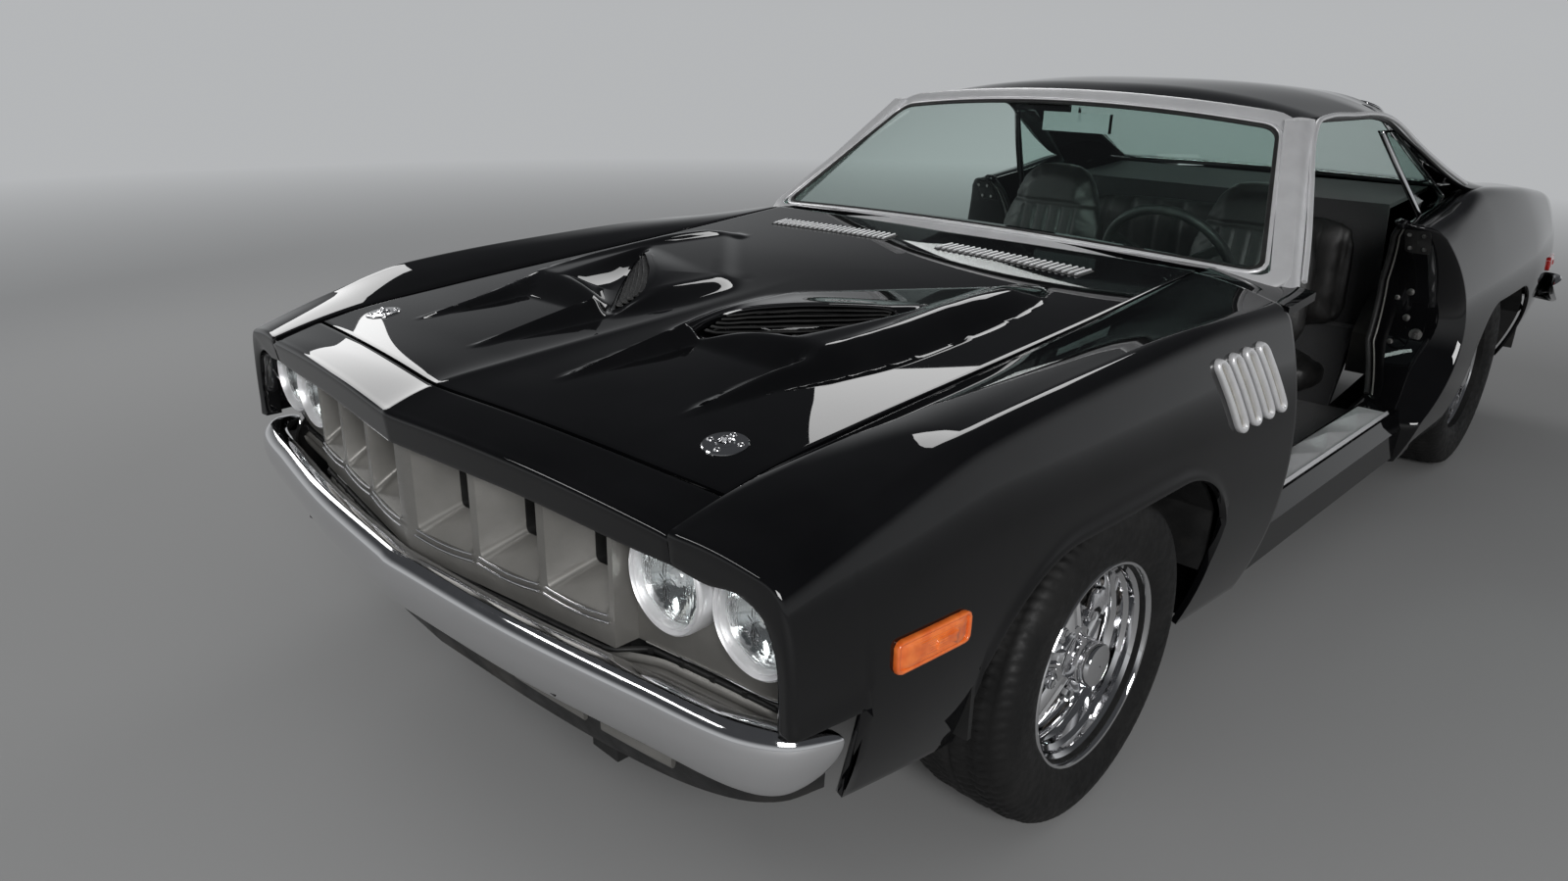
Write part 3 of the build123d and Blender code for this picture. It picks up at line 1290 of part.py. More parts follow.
PIECES = {
    "hood": hood,
    "header_panel": header_panel,
    "fenders": fenders,
    "gill_frames": gill_frames,
    "quarter_panels": quarter_panels,
    "deck_lid": deck_lid,
    "tulip_panel": tulip_panel,
    "tail_panel": tail_panel,
    "tail_lamps": tail_lamps,
    "roof": roof,
    "cowl_panel": cowl_panel,
    "windshield": windshield,
    "rear_glass": rear_glass,
    "grille": grille,
    "headlamps": headlamps,
    "front_bumper": front_bumper,
    "rear_bumper": rear_bumper,
    "valances": valances,
    "rockers": rockers,
    "sill_plates": sill_plates,
    "floor_pan": floor_pan,
    "firewall": firewall,
    "hinge_pillars": hinge_pillars,
    "package_shelf": package_shelf,
    "dashboard": dashboard,
    "steering_column": steering_column,
    "steering_wheel": steering_wheel,
    "front_seats": front_seats,
    "rear_seat": rear_seat,
    "engine_block": engine_block,
    "gearbox": gearbox,
    "driveshaft": driveshaft,
    "rear_axle": rear_axle,
    "frame_rails": frame_rails,
    "radiator_support": radiator_support,
    "control_arms": control_arms,
    "knuckle_left": knuckle_left,
    "knuckle_right": knuckle_right,
    "steering_link": steering_link,
    "leaf_springs": leaf_springs,
    "exhaust": exhaust,
    "fuel_tank": fuel_tank,
    "wheel_houses": wheel_houses,
    "side_markers": side_markers,
    "mirror_inside": mirror_inside,
}
for name, piece in PIECES.items():
    write(piece.part, name)
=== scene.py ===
"""Dresses the muscle car in its CAD frame: smooth panels, bright trim, glass, wheels and seats.

Metres. +X is the car's left, its front faces -Y and +Z is up. Each new piece is a surface worked
out with numpy from the same stations as the solids, and sits where they sit.
"""

from collections import namedtuple
from math import cos, pi, radians, sin

import bmesh
import bpy
import numpy as np
from mathutils import Matrix, Vector


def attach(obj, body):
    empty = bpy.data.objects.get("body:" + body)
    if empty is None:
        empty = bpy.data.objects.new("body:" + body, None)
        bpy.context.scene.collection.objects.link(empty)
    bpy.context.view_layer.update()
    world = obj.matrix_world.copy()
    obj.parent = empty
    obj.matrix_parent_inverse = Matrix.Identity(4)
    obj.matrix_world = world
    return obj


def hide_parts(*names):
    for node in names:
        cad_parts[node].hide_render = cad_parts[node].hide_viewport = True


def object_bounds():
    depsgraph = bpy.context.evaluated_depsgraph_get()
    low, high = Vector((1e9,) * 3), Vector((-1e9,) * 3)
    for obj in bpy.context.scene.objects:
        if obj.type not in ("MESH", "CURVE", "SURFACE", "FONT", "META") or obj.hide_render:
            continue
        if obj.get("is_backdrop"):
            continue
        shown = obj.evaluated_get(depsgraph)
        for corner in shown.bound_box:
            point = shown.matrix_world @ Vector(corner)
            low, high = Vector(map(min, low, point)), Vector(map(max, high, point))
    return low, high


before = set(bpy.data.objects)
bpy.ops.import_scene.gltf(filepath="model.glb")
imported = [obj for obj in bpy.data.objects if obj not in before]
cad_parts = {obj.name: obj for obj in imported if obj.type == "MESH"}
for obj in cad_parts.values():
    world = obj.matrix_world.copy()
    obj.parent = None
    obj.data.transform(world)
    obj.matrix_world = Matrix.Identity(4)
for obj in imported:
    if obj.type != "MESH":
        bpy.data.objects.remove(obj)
cad_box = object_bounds()

# The car's main lines
FRONT_AXLE = -1.430
REAR_AXLE = 1.313
HALF_WIDTH = 0.948
NOSE = FRONT_AXLE - 0.903
NOSE_SWEEP = 0.105
HOOD_FRONT = FRONT_AXLE - 0.799
HOOD_SWEEP = 0.117
HOOD_HALF = 0.672
HOOD_REAR = FRONT_AXLE + 0.704
HOOD_REAR_SWEEP = 0.043
SHUT_GAP = 0.006
SWING_GAP = 0.009
TAIL = REAR_AXLE + 1.010
DECK_HALF = 0.640
DECK_FRONT = REAR_AXLE + 0.100
DECK_REAR = TAIL - 0.034
LIP_BOTTOM = 0.750
BELT_INSIDE = 0.752
TULIP_FRONT = REAR_AXLE + 0.052
SHEET = 0.014
SHEET_EDGE = 0.0016

# Body sections, in millimetres from each axle
COLUMNS = ("crown", "edge", "crease_in", "crease", "side_in", "side", "foot_in", "foot")
FRONT_STATIONS = np.array(
    [
        (-960, 782, 733, 112, 722, 82, 600, 112, 395),
        (-800, 832, 792, 80, 777, 52, 640, 92, 385),
        (-630, 847, 828, 70, 832, 30, 646, 74, 372),
        (-416, 863, 850, 64, 886, 14, 650, 66, 350),
        (0, 894, 884, 62, 912, 2, 655, 62, 300),
        (300, 921, 908, 60, 919, 0, 668, 62, 250),
        (760, 958, 949, 54, 901, 0, 700, 62, 214),
    ]
)
REAR_STATIONS = np.array(
    [
        (-850, 940, 936, 103, 934, 8, 690, 66, 214),
        (-480, 990, 966, 108, 968, 2, 690, 66, 214),
        (-172, 1012, 1000, 130, 1015, 0, 690, 66, 230),
        (357, 992, 984, 118, 985, 8, 690, 72, 330),
        (830, 956, 944, 128, 938, 42, 665, 92, 400),
        (1045, 935, 922, 145, 913, 70, 645, 110, 425),
    ]
)


def hermite(first, last, slope_first, slope_last, step, t):
    """At share t of a step, the cubic from first to last with the given slopes at its ends."""
    low = first * (1 + 2 * t) * (1 - t) ** 2 + slope_first * step * t * (1 - t) ** 2
    return low + last * t**2 * (3 - 2 * t) + slope_last * step * t**2 * (t - 1)


def smooth_line(keys, values):
    """A monotone cubic through (keys, values): Hermite pieces whose inner slopes are the weighted
    harmonic means of the neighbouring chords, and zero at a peak."""
    keys, values = np.asarray(keys, float), np.asarray(values, float)
    step = np.diff(keys)
    chord = np.diff(values) / step
    slope = np.concatenate([chord[:1], np.zeros(len(keys) - 2), chord[-1:]])
    before, after = chord[:-1], chord[1:]
    rising = before * after > 0
    ahead, behind = 2 * step[1:] + step[:-1], step[1:] + 2 * step[:-1]
    safe = np.where(rising, before, 1), np.where(rising, after, 1)
    slope[1:-1] = np.where(rising, (ahead + behind) / (ahead / safe[0] + behind / safe[1]), 0)

    def read(at):
        at = np.asarray(at, float)
        i = np.clip(np.searchsorted(keys, at) - 1, 0, len(step) - 1)
        t = np.clip((at - keys[i]) / step[i], 0, 1)
        return hermite(values[i], values[i + 1], slope[i], slope[i + 1], step[i], t)

    return read


def smooth_table(*rows):
    """A smooth line through rows of (key, value)."""
    return smooth_line(*np.array(rows).T)


def table_lines(stations):
    """Each column of a table of stations as a smooth line in metres."""
    keys, *columns = stations.T / 1000
    return {name: smooth_line(keys, column) for name, column in zip(COLUMNS, columns)}


FRONT = table_lines(FRONT_STATIONS)
REAR = table_lines(REAR_STATIONS)


def ramp(value, start, end):
    """0 before start, 1 after end and 3t^2 - 2t^3 between."""
    t = np.clip((np.asarray(value, float) - start) / (end - start), 0, 1)
    return t * t * (3 - 2 * t)


def stack(*parts):
    """Coordinates broadcast together into one array of points."""
    return np.stack(np.broadcast_arrays(*parts), -1)


def blend_points(a, b, t):
    """a at t 0, b at t 1."""
    return a + (b - a) * t


def circle_through(a, b, c):
    """Centre and radius of the circle through three points of a plane, for whole arrays."""
    (ax, az), (bx, bz), (cx, cz) = a, b, c
    turn = 2 * (ax * (bz - cz) + bx * (cz - az) + cx * (az - bz))
    aa, bb, cc = ax**2 + az**2, bx**2 + bz**2, cx**2 + cz**2
    x = (aa * (bz - cz) + bb * (cz - az) + cc * (az - bz)) / turn
    z = (aa * (cx - bx) + bb * (ax - cx) + cc * (bx - ax)) / turn
    return x, z, np.hypot(ax - x, az - z)


def arc(a, b, c, count):
    """Points of the circular arc from a through b to c."""
    x, z, radius = circle_through(*(tuple(map(np.float64, p)) for p in (a, b, c)))
    start, middle, end = (np.arctan2(p[1] - z, p[0] - x) for p in (a, b, c))
    middle = start + (middle - start + pi) % (2 * pi) - pi
    end = middle + (end - middle + pi) % (2 * pi) - pi
    turn = np.linspace(start, end, count)
    return np.stack([x + radius * np.cos(turn), z + radius * np.sin(turn)], -1)


def quads(rows, columns, wrap_rows=False, wrap_columns=False):
    """Corner numbers of a grid's faces."""
    i = np.arange(rows if wrap_rows else rows - 1)[:, None]
    j = np.arange(columns if wrap_columns else columns - 1)[None, :]
    below, beside = (i + 1) % rows, (j + 1) % columns
    corners = [i * columns + j, i * columns + beside, below * columns + beside, below * columns + j]
    return np.stack(corners, -1).reshape(-1, 4)


def faces_out(points, faces, inside):
    """The faces, turned so that most of them look away from the point inside."""
    p = points[faces]
    normal = np.cross(p[:, 2] - p[:, 0], p[:, 3] - p[:, 1])
    outward = ((p.mean(1) - np.asarray(inside)) * normal).sum()
    return faces if outward >= 0 else faces[:, ::-1]


def opened(patch):
    """A patch's grid and its wrap flags, if it has any."""
    grid, *wrap = patch if isinstance(patch, tuple) else (patch,)
    return grid, wrap


def placed(patch, flip, seat=(0, 0, 0)):
    """The patch with its coordinates times flip, moved to a seat."""
    grid, wrap = opened(patch)
    return (grid * flip + np.asarray(seat), *wrap)


def mirrored(patch):
    """The same patch on the car's other side."""
    return placed(patch, (-1, 1, 1))


def both_sides(patches):
    """The patches and their mirror images."""
    return [*patches, *(mirrored(patch) for patch in patches)]


def shape_mesh(name, patches, inside=None, merge=1e-5):
    """A mesh of grids of points whose shared edges are merged. Each patch is a grid, or a tuple of
    a grid and whether its rows and columns close on themselves. inside is a point behind the
    surface; without it the shape is closed and its faces are turned outwards."""
    points, faces, first = [], [], 0
    for patch in patches:
        grid, wrap = opened(patch)
        flat = grid.reshape(-1, 3)
        part = quads(grid.shape[0], grid.shape[1], *wrap)
        if inside is not None:
            part = faces_out(flat, part, inside)
        points.append(flat)
        faces.append(part + first)
        first += len(flat)
    mesh = bpy.data.meshes.new(name)
    mesh.from_pydata(np.concatenate(points).tolist(), [], np.concatenate(faces).tolist())
    shape = bmesh.new()
    shape.from_mesh(mesh)
    bmesh.ops.remove_doubles(shape, verts=shape.verts, dist=merge)
    bmesh.ops.dissolve_degenerate(shape, edges=shape.edges, dist=merge)
    if inside is None:
        bmesh.ops.recalc_face_normals(shape, faces=shape.faces)
    shape.to_mesh(mesh)
    shape.free()
    return mesh


def new_object(name, data):
    """An object in the scene."""
    made = bpy.data.objects.new(name, data)
    bpy.context.scene.collection.objects.link(made)
    return made


def with_modifiers(holder):
    """A copy of the holder's mesh as its modifiers leave it."""
    seen = holder.evaluated_get(bpy.context.evaluated_depsgraph_get())
    return bpy.data.meshes.new_from_object(seen)


def settle(piece, sharp):
    """Apply a piece's modifiers and shade it smooth, except across edges sharper than sharp."""
    if piece.modifiers:
        mesh = with_modifiers(piece)
        piece.modifiers.clear()
        piece.data = mesh
    piece.data.shade_smooth()
    piece.data.set_sharp_from_angle(angle=radians(sharp))


def place(name, mesh, finish, body, slot, wall=0.0, edge=0.0, stands_for=(), sharp=38):
    """Put a mesh in the scene as a piece: wall is its thickness inwards, edge its bevel."""
    piece = new_object(name, mesh)
    if wall:
        thick = piece.modifiers.new("wall", "SOLIDIFY")
        thick.thickness = wall
        thick.offset = -1
    if edge:
        rim = piece.modifiers.new("edge", "BEVEL")
        rim.width = edge
        rim.segments = 2
        rim.limit_method = "ANGLE"
        rim.angle_limit = radians(50)
    bpy.context.view_layer.update()
    settle(piece, sharp)
    piece.data.materials.clear()
    piece.data.materials.append(finish)
    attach(piece, body)
    if stands_for:
        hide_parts(*stands_for)
    return piece


# Finishes: Principled surfaces whose colour, gloss and grain vary with Object coordinates


class Finish:
    """A material's node tree with short ways to add to it."""

    def __init__(self, name, colour, rough, **sockets):
        self.material = bpy.data.materials.new(name)
        self.material.use_nodes = True
        self.tree = self.material.node_tree
        self.shader = self.tree.nodes["Principled BSDF"]
        self.shader.inputs["Base Color"].default_value = (*colour, 1)
        self.shader.inputs["Roughness"].default_value = rough
        for socket, value in sockets.items():
            self.shader.inputs[socket.replace("_", " ")].default_value = value

    def node(self, kind, **values):
        made = self.tree.nodes.new(kind)
        for key, value in values.items():
            setattr(made, key, value)
        return made

    def join(self, source, target):
        self.tree.links.new(source, target)

    def where(self, scale=(1, 1, 1)):
        """Object coordinates, stretched."""
        seat = self.node("ShaderNodeTexCoord")
        stretch = self.node("ShaderNodeMapping")
        stretch.inputs["Scale"].default_value = scale
        self.join(seat.outputs["Object"], stretch.inputs["Vector"])
        return stretch.outputs["Vector"]

    def noise(self, scale, detail=3, stretch=(1, 1, 1)):
        grain = self.node("ShaderNodeTexNoise")
        grain.inputs["Scale"].default_value = scale
        grain.inputs["Detail"].default_value = detail
        self.join(self.where(stretch), grain.inputs["Vector"])
        return grain.outputs["Fac"]

    def cells(self, scale, feature="F1", stretch=(1, 1, 1)):
        grain = self.node("ShaderNodeTexVoronoi", feature=feature)
        grain.inputs["Scale"].default_value = scale
        self.join(self.where(stretch), grain.inputs["Vector"])
        return grain.outputs["Distance"]

    def levels(self, source, low, high, to_low=0.0, to_high=1.0):
        """source from low..high to to_low..to_high."""
        spread = self.node("ShaderNodeMapRange")
        spread.inputs["From Min"].default_value = low
        spread.inputs["From Max"].default_value = high
        spread.inputs["To Min"].default_value = to_low
        spread.inputs["To Max"].default_value = to_high
        self.join(source, spread.inputs["Value"])
        return spread.outputs["Result"]

    def rough(self, source, low, high, to_low, to_high):
        self.join(self.levels(source, low, high, to_low, to_high), self.shader.inputs["Roughness"])
        return self

    def tint(self, source, low, high, first, second):
        """Base colour first where source is low, second where it is high."""
        mix = self.node("ShaderNodeMix", data_type="RGBA")
        mix.inputs["A"].default_value = (*first, 1)
        mix.inputs["B"].default_value = (*second, 1)
        self.join(self.levels(source, low, high), mix.inputs["Factor"])
        self.join(mix.outputs["Result"], self.shader.inputs["Base Color"])
        return self

    def bump(self, source, distance, strength=1.0, under=None):
        relief = self.node("ShaderNodeBump")
        relief.inputs["Distance"].default_value = distance
        relief.inputs["Strength"].default_value = strength
        self.join(source, relief.inputs["Height"])
        if under:
            self.join(under, relief.inputs["Normal"])
        self.join(relief.outputs["Normal"], self.shader.inputs["Normal"])
        return relief.outputs["Normal"]


def paint_finish():
    """Deep black enamel under clear lacquer, with orange peel and a little dust."""
    gloss = {"Coat_Weight": 1.0, "Coat_Roughness": 0.012, "Specular_IOR_Level": 0.0}
    f = Finish("black_paint", (0.004, 0.004, 0.005), 0.3, **gloss)
    f.tint(f.noise(4, 4), 0.4, 0.7, (0.0024, 0.0024, 0.0028), (0.0048, 0.0048, 0.0054))
    f.rough(f.noise(900, 2), 0.45, 0.8, 0.25, 0.4)
    f.bump(f.noise(240, 2), 0.00005, 0.3)
    return f.material


def chrome_finish():
    """Bright plating with faint polishing haze."""
    f = Finish("chrome", (0.80, 0.80, 0.81), 0.05, Metallic=1.0)
    f.rough(f.noise(60, 4), 0.35, 0.75, 0.03, 0.11)
    f.bump(f.noise(35, 3), 0.00015, 0.15)
    return f.material


def argent_finish():
    """Warm silver-grey paint with a fine metallic grain."""
    sheen = {"Metallic": 0.45, "Coat_Weight": 0.15, "Coat_Roughness": 0.3}
    f = Finish("argent_paint", (0.22, 0.215, 0.20), 0.42, **sheen)
    f.tint(f.noise(7, 4), 0.35, 0.7, (0.175, 0.17, 0.158), (0.25, 0.243, 0.228))
    f.rough(f.noise(500, 2), 0.4, 0.7, 0.36, 0.52)
    f.bump(f.noise(1400, 2), 0.00008, 0.5)
    return f.material


def brushed_finish():
    """Polished aluminium with fine lengthwise brushing."""
    f = Finish("polished_aluminium", (0.72, 0.72, 0.73), 0.18, Metallic=1.0)
    grain = f.noise(300, 3, (1, 0.02, 1))
    f.rough(grain, 0.3, 0.75, 0.12, 0.28)
    f.tint(f.noise(18, 4), 0.4, 0.7, (0.62, 0.62, 0.63), (0.78, 0.78, 0.79))
    f.bump(grain, 0.0001, 0.25)
    return f.material


def satin_finish():
    """Anodised trim: bright metal with a soft sheen. On the black painted windshield pillars it is a
    painted reflection.
    """
    f = Finish("satin_trim", (0.92, 0.92, 0.93), 0.38, Metallic=0.55)
    grain = f.noise(260, 3, (1, 0.05, 1))
    f.rough(grain, 0.3, 0.75, 0.30, 0.42)
    f.tint(f.noise(14, 4), 0.4, 0.7, (0.86, 0.86, 0.87), (0.94, 0.94, 0.95))
    return f.material


def leather_finish():
    """Black hide: cell grain, soft creases and a worn sheen in random patches."""
    f = Finish("black_leather", (0.014, 0.013, 0.013), 0.42, Coat_Weight=0.12, Coat_Roughness=0.35)
    f.tint(f.noise(9, 4), 0.35, 0.75, (0.010, 0.010, 0.010), (0.026, 0.024, 0.023))
    f.rough(f.noise(30, 4), 0.35, 0.7, 0.34, 0.52)
    crease = f.bump(f.noise(55, 5), 0.0012, 0.35)
    f.bump(f.cells(950), 0.0005, 0.55, crease)
    return f.material


def plastic_finish():
    """Moulded black plastic with a pebbled grain."""
    f = Finish("black_plastic", (0.016, 0.016, 0.016), 0.5)
    f.tint(f.noise(14, 3), 0.4, 0.7, (0.012, 0.012, 0.012), (0.024, 0.024, 0.023))
    f.rough(f.noise(80, 3), 0.4, 0.7, 0.42, 0.6)
    f.bump(f.cells(1500), 0.0003, 0.5)
    return f.material


def chassis_finish():
    """Satin chassis black with brush marks and road dust."""
    f = Finish("chassis_black", (0.012, 0.012, 0.012), 0.55)
    f.tint(f.noise(6, 6), 0.5, 0.8, (0.010, 0.010, 0.010), (0.045, 0.040, 0.034))
    f.rough(f.noise(20, 4), 0.35, 0.7, 0.45, 0.72)
    f.bump(f.noise(260, 4), 0.0006, 0.5)
    return f.material


def carpet_finish():
    """Black loop carpet."""
    f = Finish("black_carpet", (0.012, 0.012, 0.013), 0.95, Sheen_Weight=0.25, Sheen_Roughness=0.6)
    # Painted shade: the tint follows the bump's cells and is darkest where the bump is lowest, in the
    # hollows between the loops.
    f.tint(f.cells(420), 0.1, 0.6, (0.006, 0.006, 0.006), (0.028, 0.028, 0.030))
    f.bump(f.cells(420), 0.003, 0.8)
    return f.material


def iron_finish():
    """Cast iron, dark and grainy."""
    f = Finish("cast_iron", (0.06, 0.055, 0.05), 0.6, Metallic=0.6)
    f.tint(f.noise(12, 5), 0.45, 0.75, (0.045, 0.043, 0.040), (0.10, 0.075, 0.055))
    f.rough(f.noise(40, 4), 0.4, 0.7, 0.5, 0.75)
    f.bump(f.noise(300, 3), 0.0008, 0.6)
    return f.material


def steel_finish():
    """Machined steel with light tarnish."""
    f = Finish("steel", (0.36, 0.35, 0.34), 0.35, Metallic=1.0)
    f.tint(f.noise(15, 5), 0.4, 0.75, (0.26, 0.25, 0.24), (0.44, 0.43, 0.42))
    f.rough(f.noise(60, 4), 0.4, 0.7, 0.28, 0.5)
    f.bump(f.noise(500, 2), 0.0002, 0.4)
    return f.material


def rubber_finish():
    """Dark rubber, a little dusty."""
    f = Finish("tyre_rubber", (0.010, 0.010, 0.010), 0.62, Specular_IOR_Level=0.35)
    f.tint(f.noise(10, 5), 0.4, 0.75, (0.006, 0.006, 0.006), (0.015, 0.0145, 0.014))
    f.rough(f.noise(60, 4), 0.35, 0.7, 0.5, 0.78)
    f.bump(f.noise(720, 3), 0.0003, 0.5)
    return f.material


def pan_finish():
    """Pale beige-grey satin paint: a silver pan whose warm paleness is a painted reflection."""
    f = Finish("satin_pan_painted_reflection", (0.42, 0.40, 0.36), 0.38, Metallic=0.3)
    f.tint(f.noise(30, 3), 0.4, 0.7, (0.36, 0.345, 0.31), (0.48, 0.46, 0.42))
    f.rough(f.noise(300, 2), 0.4, 0.7, 0.32, 0.48)
    return f.material


def lens_finish(name, colour, second):
    """Clear coloured lens over fine flutes."""
    f = Finish(name, colour, 0.12, Coat_Weight=1.0, Coat_Roughness=0.03, IOR=1.5)
    f.tint(f.noise(40, 3), 0.35, 0.7, colour, second)
    f.rough(f.noise(300, 2), 0.4, 0.7, 0.1, 0.2)
    f.bump(f.noise(500, 2), 0.0001, 0.3)
    return f.material


def mirror_finish():
    """Silvered glass."""
    f = Finish("mirror_glass", (0.86, 0.88, 0.88), 0.02, Metallic=1.0)
    f.rough(f.noise(30, 3), 0.4, 0.8, 0.015, 0.05)
    return f.material


def clear_glass(name, colour, rough_low=0.0, rough_high=0.02):
    """Thin glass: its face reflects, and light goes straight through it, tinted, to what it shades."""
    f = Finish(name, colour, 0.0, Transmission_Weight=1.0, IOR=1.45)
    f.rough(f.noise(8, 3), 0.45, 0.8, rough_low, rough_high)
    path = f.node("ShaderNodeLightPath")
    let = f.node("ShaderNodeBsdfTransparent")
    let.inputs["Color"].default_value = (*(0.35 + 0.6 * c for c in colour), 1)
    mix = f.node("ShaderNodeMixShader")
    out = f.tree.nodes["Material Output"]
    f.join(path.outputs["Is Shadow Ray"], mix.inputs["Fac"])
    f.join(f.shader.outputs["BSDF"], mix.inputs[1])
    f.join(let.outputs["BSDF"], mix.inputs[2])
    f.join(mix.outputs["Shader"], out.inputs["Surface"])
    return f.material


FINISHES = {
    "paint": paint_finish(),
    "chrome": chrome_finish(),
    "argent": argent_finish(),
    "polished": brushed_finish(),
    "satin": satin_finish(),
    "leather": leather_finish(),
    "black_plastic": plastic_finish(),
    "chassis": chassis_finish(),
    "carpet": carpet_finish(),
    "iron": iron_finish(),
    "steel": steel_finish(),
    "tyre": rubber_finish(),
    "amber": lens_finish("amber_lens", (0.75, 0.13, 0.02), (0.92, 0.22, 0.04)),
    "red": lens_finish("red_lens", (0.45, 0.01, 0.01), (0.62, 0.03, 0.02)),
    "mirror": mirror_finish(),
    "pan": pan_finish(),
    "tinted_glass": clear_glass("tinted_glass", (0.74, 0.87, 0.83)),
    "lamp_glass": clear_glass("lamp_glass", (0.93, 0.95, 0.95), 0.02, 0.06),
}

# CAD nodes that keep their shape and get a finish
CAD_FINISHES = {
    "rockers": "paint",
    "floor_pan": "carpet",
    "firewall": "black_plastic",
    "hinge_pillars": "paint",
    "package_shelf": "carpet",
    "dashboard": "black_plastic",
    "steering_column": "black_plastic",
    "steering_wheel": "black_plastic",
    "engine_block": "iron",
    "gearbox": "iron",
    "driveshaft": "steel",
    "rear_axle": "iron",
    "frame_rails": "chassis",
    "radiator_support": "chassis",
    "control_arms": "chassis",
    "knuckle_left": "iron",
    "knuckle_right": "iron",
    "steering_link": "steel",
    "leaf_springs": "chassis",
    "exhaust": "steel",
    "fuel_tank": "chassis",
    "wheel_houses": "chassis",
    "mirror_inside": "mirror",
    "tail_lamps": "red",
    "tail_panel": "paint",
    "cowl_panel": "paint",
    "rear_glass": "tinted_glass",
}
for node, finish in CAD_FINISHES.items():
    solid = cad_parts[node]
    solid.data.materials.clear()
    solid.data.materials.append(FINISHES[finish])


# Shapes carried along paths and turned about axes


def unit(vectors):
    """The vectors at length 1."""
    return vectors / np.maximum(np.linalg.norm(vectors, axis=-1, keepdims=True), 1e-12)


def full_turn(count):
    """count angles evenly round."""
    return np.linspace(0, 2 * pi, count, endpoint=False)


def superellipse(turn, power):
    """Points of |u|^power + |v|^power = 1."""
    return [np.sign(c) * np.abs(c) ** (2 / power) for c in (np.cos(turn), np.sin(turn))]


def rounded(width, height, power=4, count=16):
    """A superellipse: |2u / width|^power + |2v / height|^power = 1."""
    u, v = superellipse(full_turn(count), power)
    return np.stack([width / 2 * u, height / 2 * v], -1)


def run_along(line):
    """The way from a polyline's first point to each of its points."""
    return np.concatenate([[0], np.cumsum(np.linalg.norm(np.diff(line, axis=0), axis=1))])


def even(points, count, wrap=True):
    """count points evenly along a polyline."""
    line = np.concatenate([points, points[:1]]) if wrap else points
    run = run_along(line)
    want = np.linspace(0, run[-1], count, endpoint=not wrap)
    return np.stack([np.interp(want, run, line[:, k]) for k in range(line.shape[1])], -1)


def frame_outline(width, height, radius, count):
    """A rectangle with round corners about the origin: four quarter circles and their tangents."""
    corners = []
    for k, (side, up) in enumerate(((1, 1), (-1, 1), (-1, -1), (1, -1))):
        turn = np.linspace(0, pi / 2, 9) + k * pi / 2
        u = side * (width / 2 - radius) + radius * np.cos(turn)
        corners.append(np.stack([u, up * (height / 2 - radius) + radius * np.sin(turn)], -1))
    return even(np.concatenate(corners), count)


def smooth_path(points, count):
    """count points evenly along a smooth open curve through the given ones: cubic pieces in the
    chord length whose slopes are the neighbours' mean slopes."""
    p = np.asarray(points, float)
    run = run_along(p)
    slope = np.gradient(p, run, axis=0)
    want = np.linspace(0, run[-1], count)
    i = np.clip(np.searchsorted(run, want) - 1, 0, len(run) - 2)
    step = (run[i + 1] - run[i])[:, None]
    t = (want - run[i])[:, None] / step
    return hermite(p[i], p[i + 1], slope[i], slope[i + 1], step, t)


def gathered(row):
    """The row with all its points at its middle."""
    return row * 0 + row.mean(-2, keepdims=True)


def closed_ends(grid):
    """The grid with one more row at each end, gathered to that end's middle."""
    return np.concatenate([gathered(grid[:1]), grid, gathered(grid[-1:])])


def carry(path, profile, up=(0, 0, 1), wrap=False):
    """A closed profile carried along a path: path + u side + v high, side being the path's
    direction crossed with up."""
    path = np.asarray(path, float)
    ahead = np.roll(path, -1, 0) - np.roll(path, 1, 0) if wrap else np.gradient(path, axis=0)
    side = unit(np.cross(ahead, np.asarray(up, float)))
    high = unit(np.cross(side, ahead))
    offset = profile[None, :, :1] * side[:, None] + profile[None, :, 1:] * high[:, None]
    grid = path[:, None] + offset
    return (grid, True, True) if wrap else (closed_ends(grid), False, True)


def lathe(profile, centre, axis="x", count=48):
    """A profile of (radius, place along the axis) turned about an x or y axis through centre."""
    profile = np.asarray(profile, float)
    turn = full_turn(count)[None]
    a, b = profile[:, :1] * np.cos(turn), profile[:, :1] * np.sin(turn)
    along = profile[:, 1:] + 0 * a
    order = {"x": (along, a, b), "y": (a, along, b)}[axis]
    return (stack(*order) + np.asarray(centre), False, True)


def piece(name, patches, finish, body="body", slot=None, stands_for=(), sharp=38):
    """A closed piece from patches, finished and riding on its body."""
    mesh = shape_mesh(name, patches)
    place(name, mesh, FINISHES[finish], body, slot or finish, 0.0, 0.0, stands_for, sharp)


def skin(name, patches, inside, finish, wall, edge=0.0, body="body", slot=None, stands_for=(), sharp=38):
    """A sheet from patches, wall thick towards the point inside, finished and riding on its body."""
    mesh = shape_mesh(name, patches, inside)
    place(name, mesh, FINISHES[finish], body, slot or finish, wall, edge, stands_for, sharp)


# Painted body

CREST_ROUND = 0.034
TOP_SWELL = 0.005
FRONT_EDGE = -0.903
LIP_REACH = 0.022


def side_x(body, s, z):
    """x of a side panel: the circle through the section's crease, side and foot points, at height z."""
    corners = [(HALF_WIDTH - body[p + "_in"](s), body[p](s)) for p in ("crease", "side", "foot")]
    x, centre_z, radius = circle_through(*corners)
    return x + np.sqrt(np.maximum(radius**2 - (z - centre_z) ** 2, 1e-9))


def nose_shear(s, x):
    """How far the nose's sweep carries a point back: NOSE_SWEEP |x|, fading out behind the lamps."""
    return NOSE_SWEEP * np.abs(x) * (1 - ramp(s, FRONT_EDGE, -0.50))


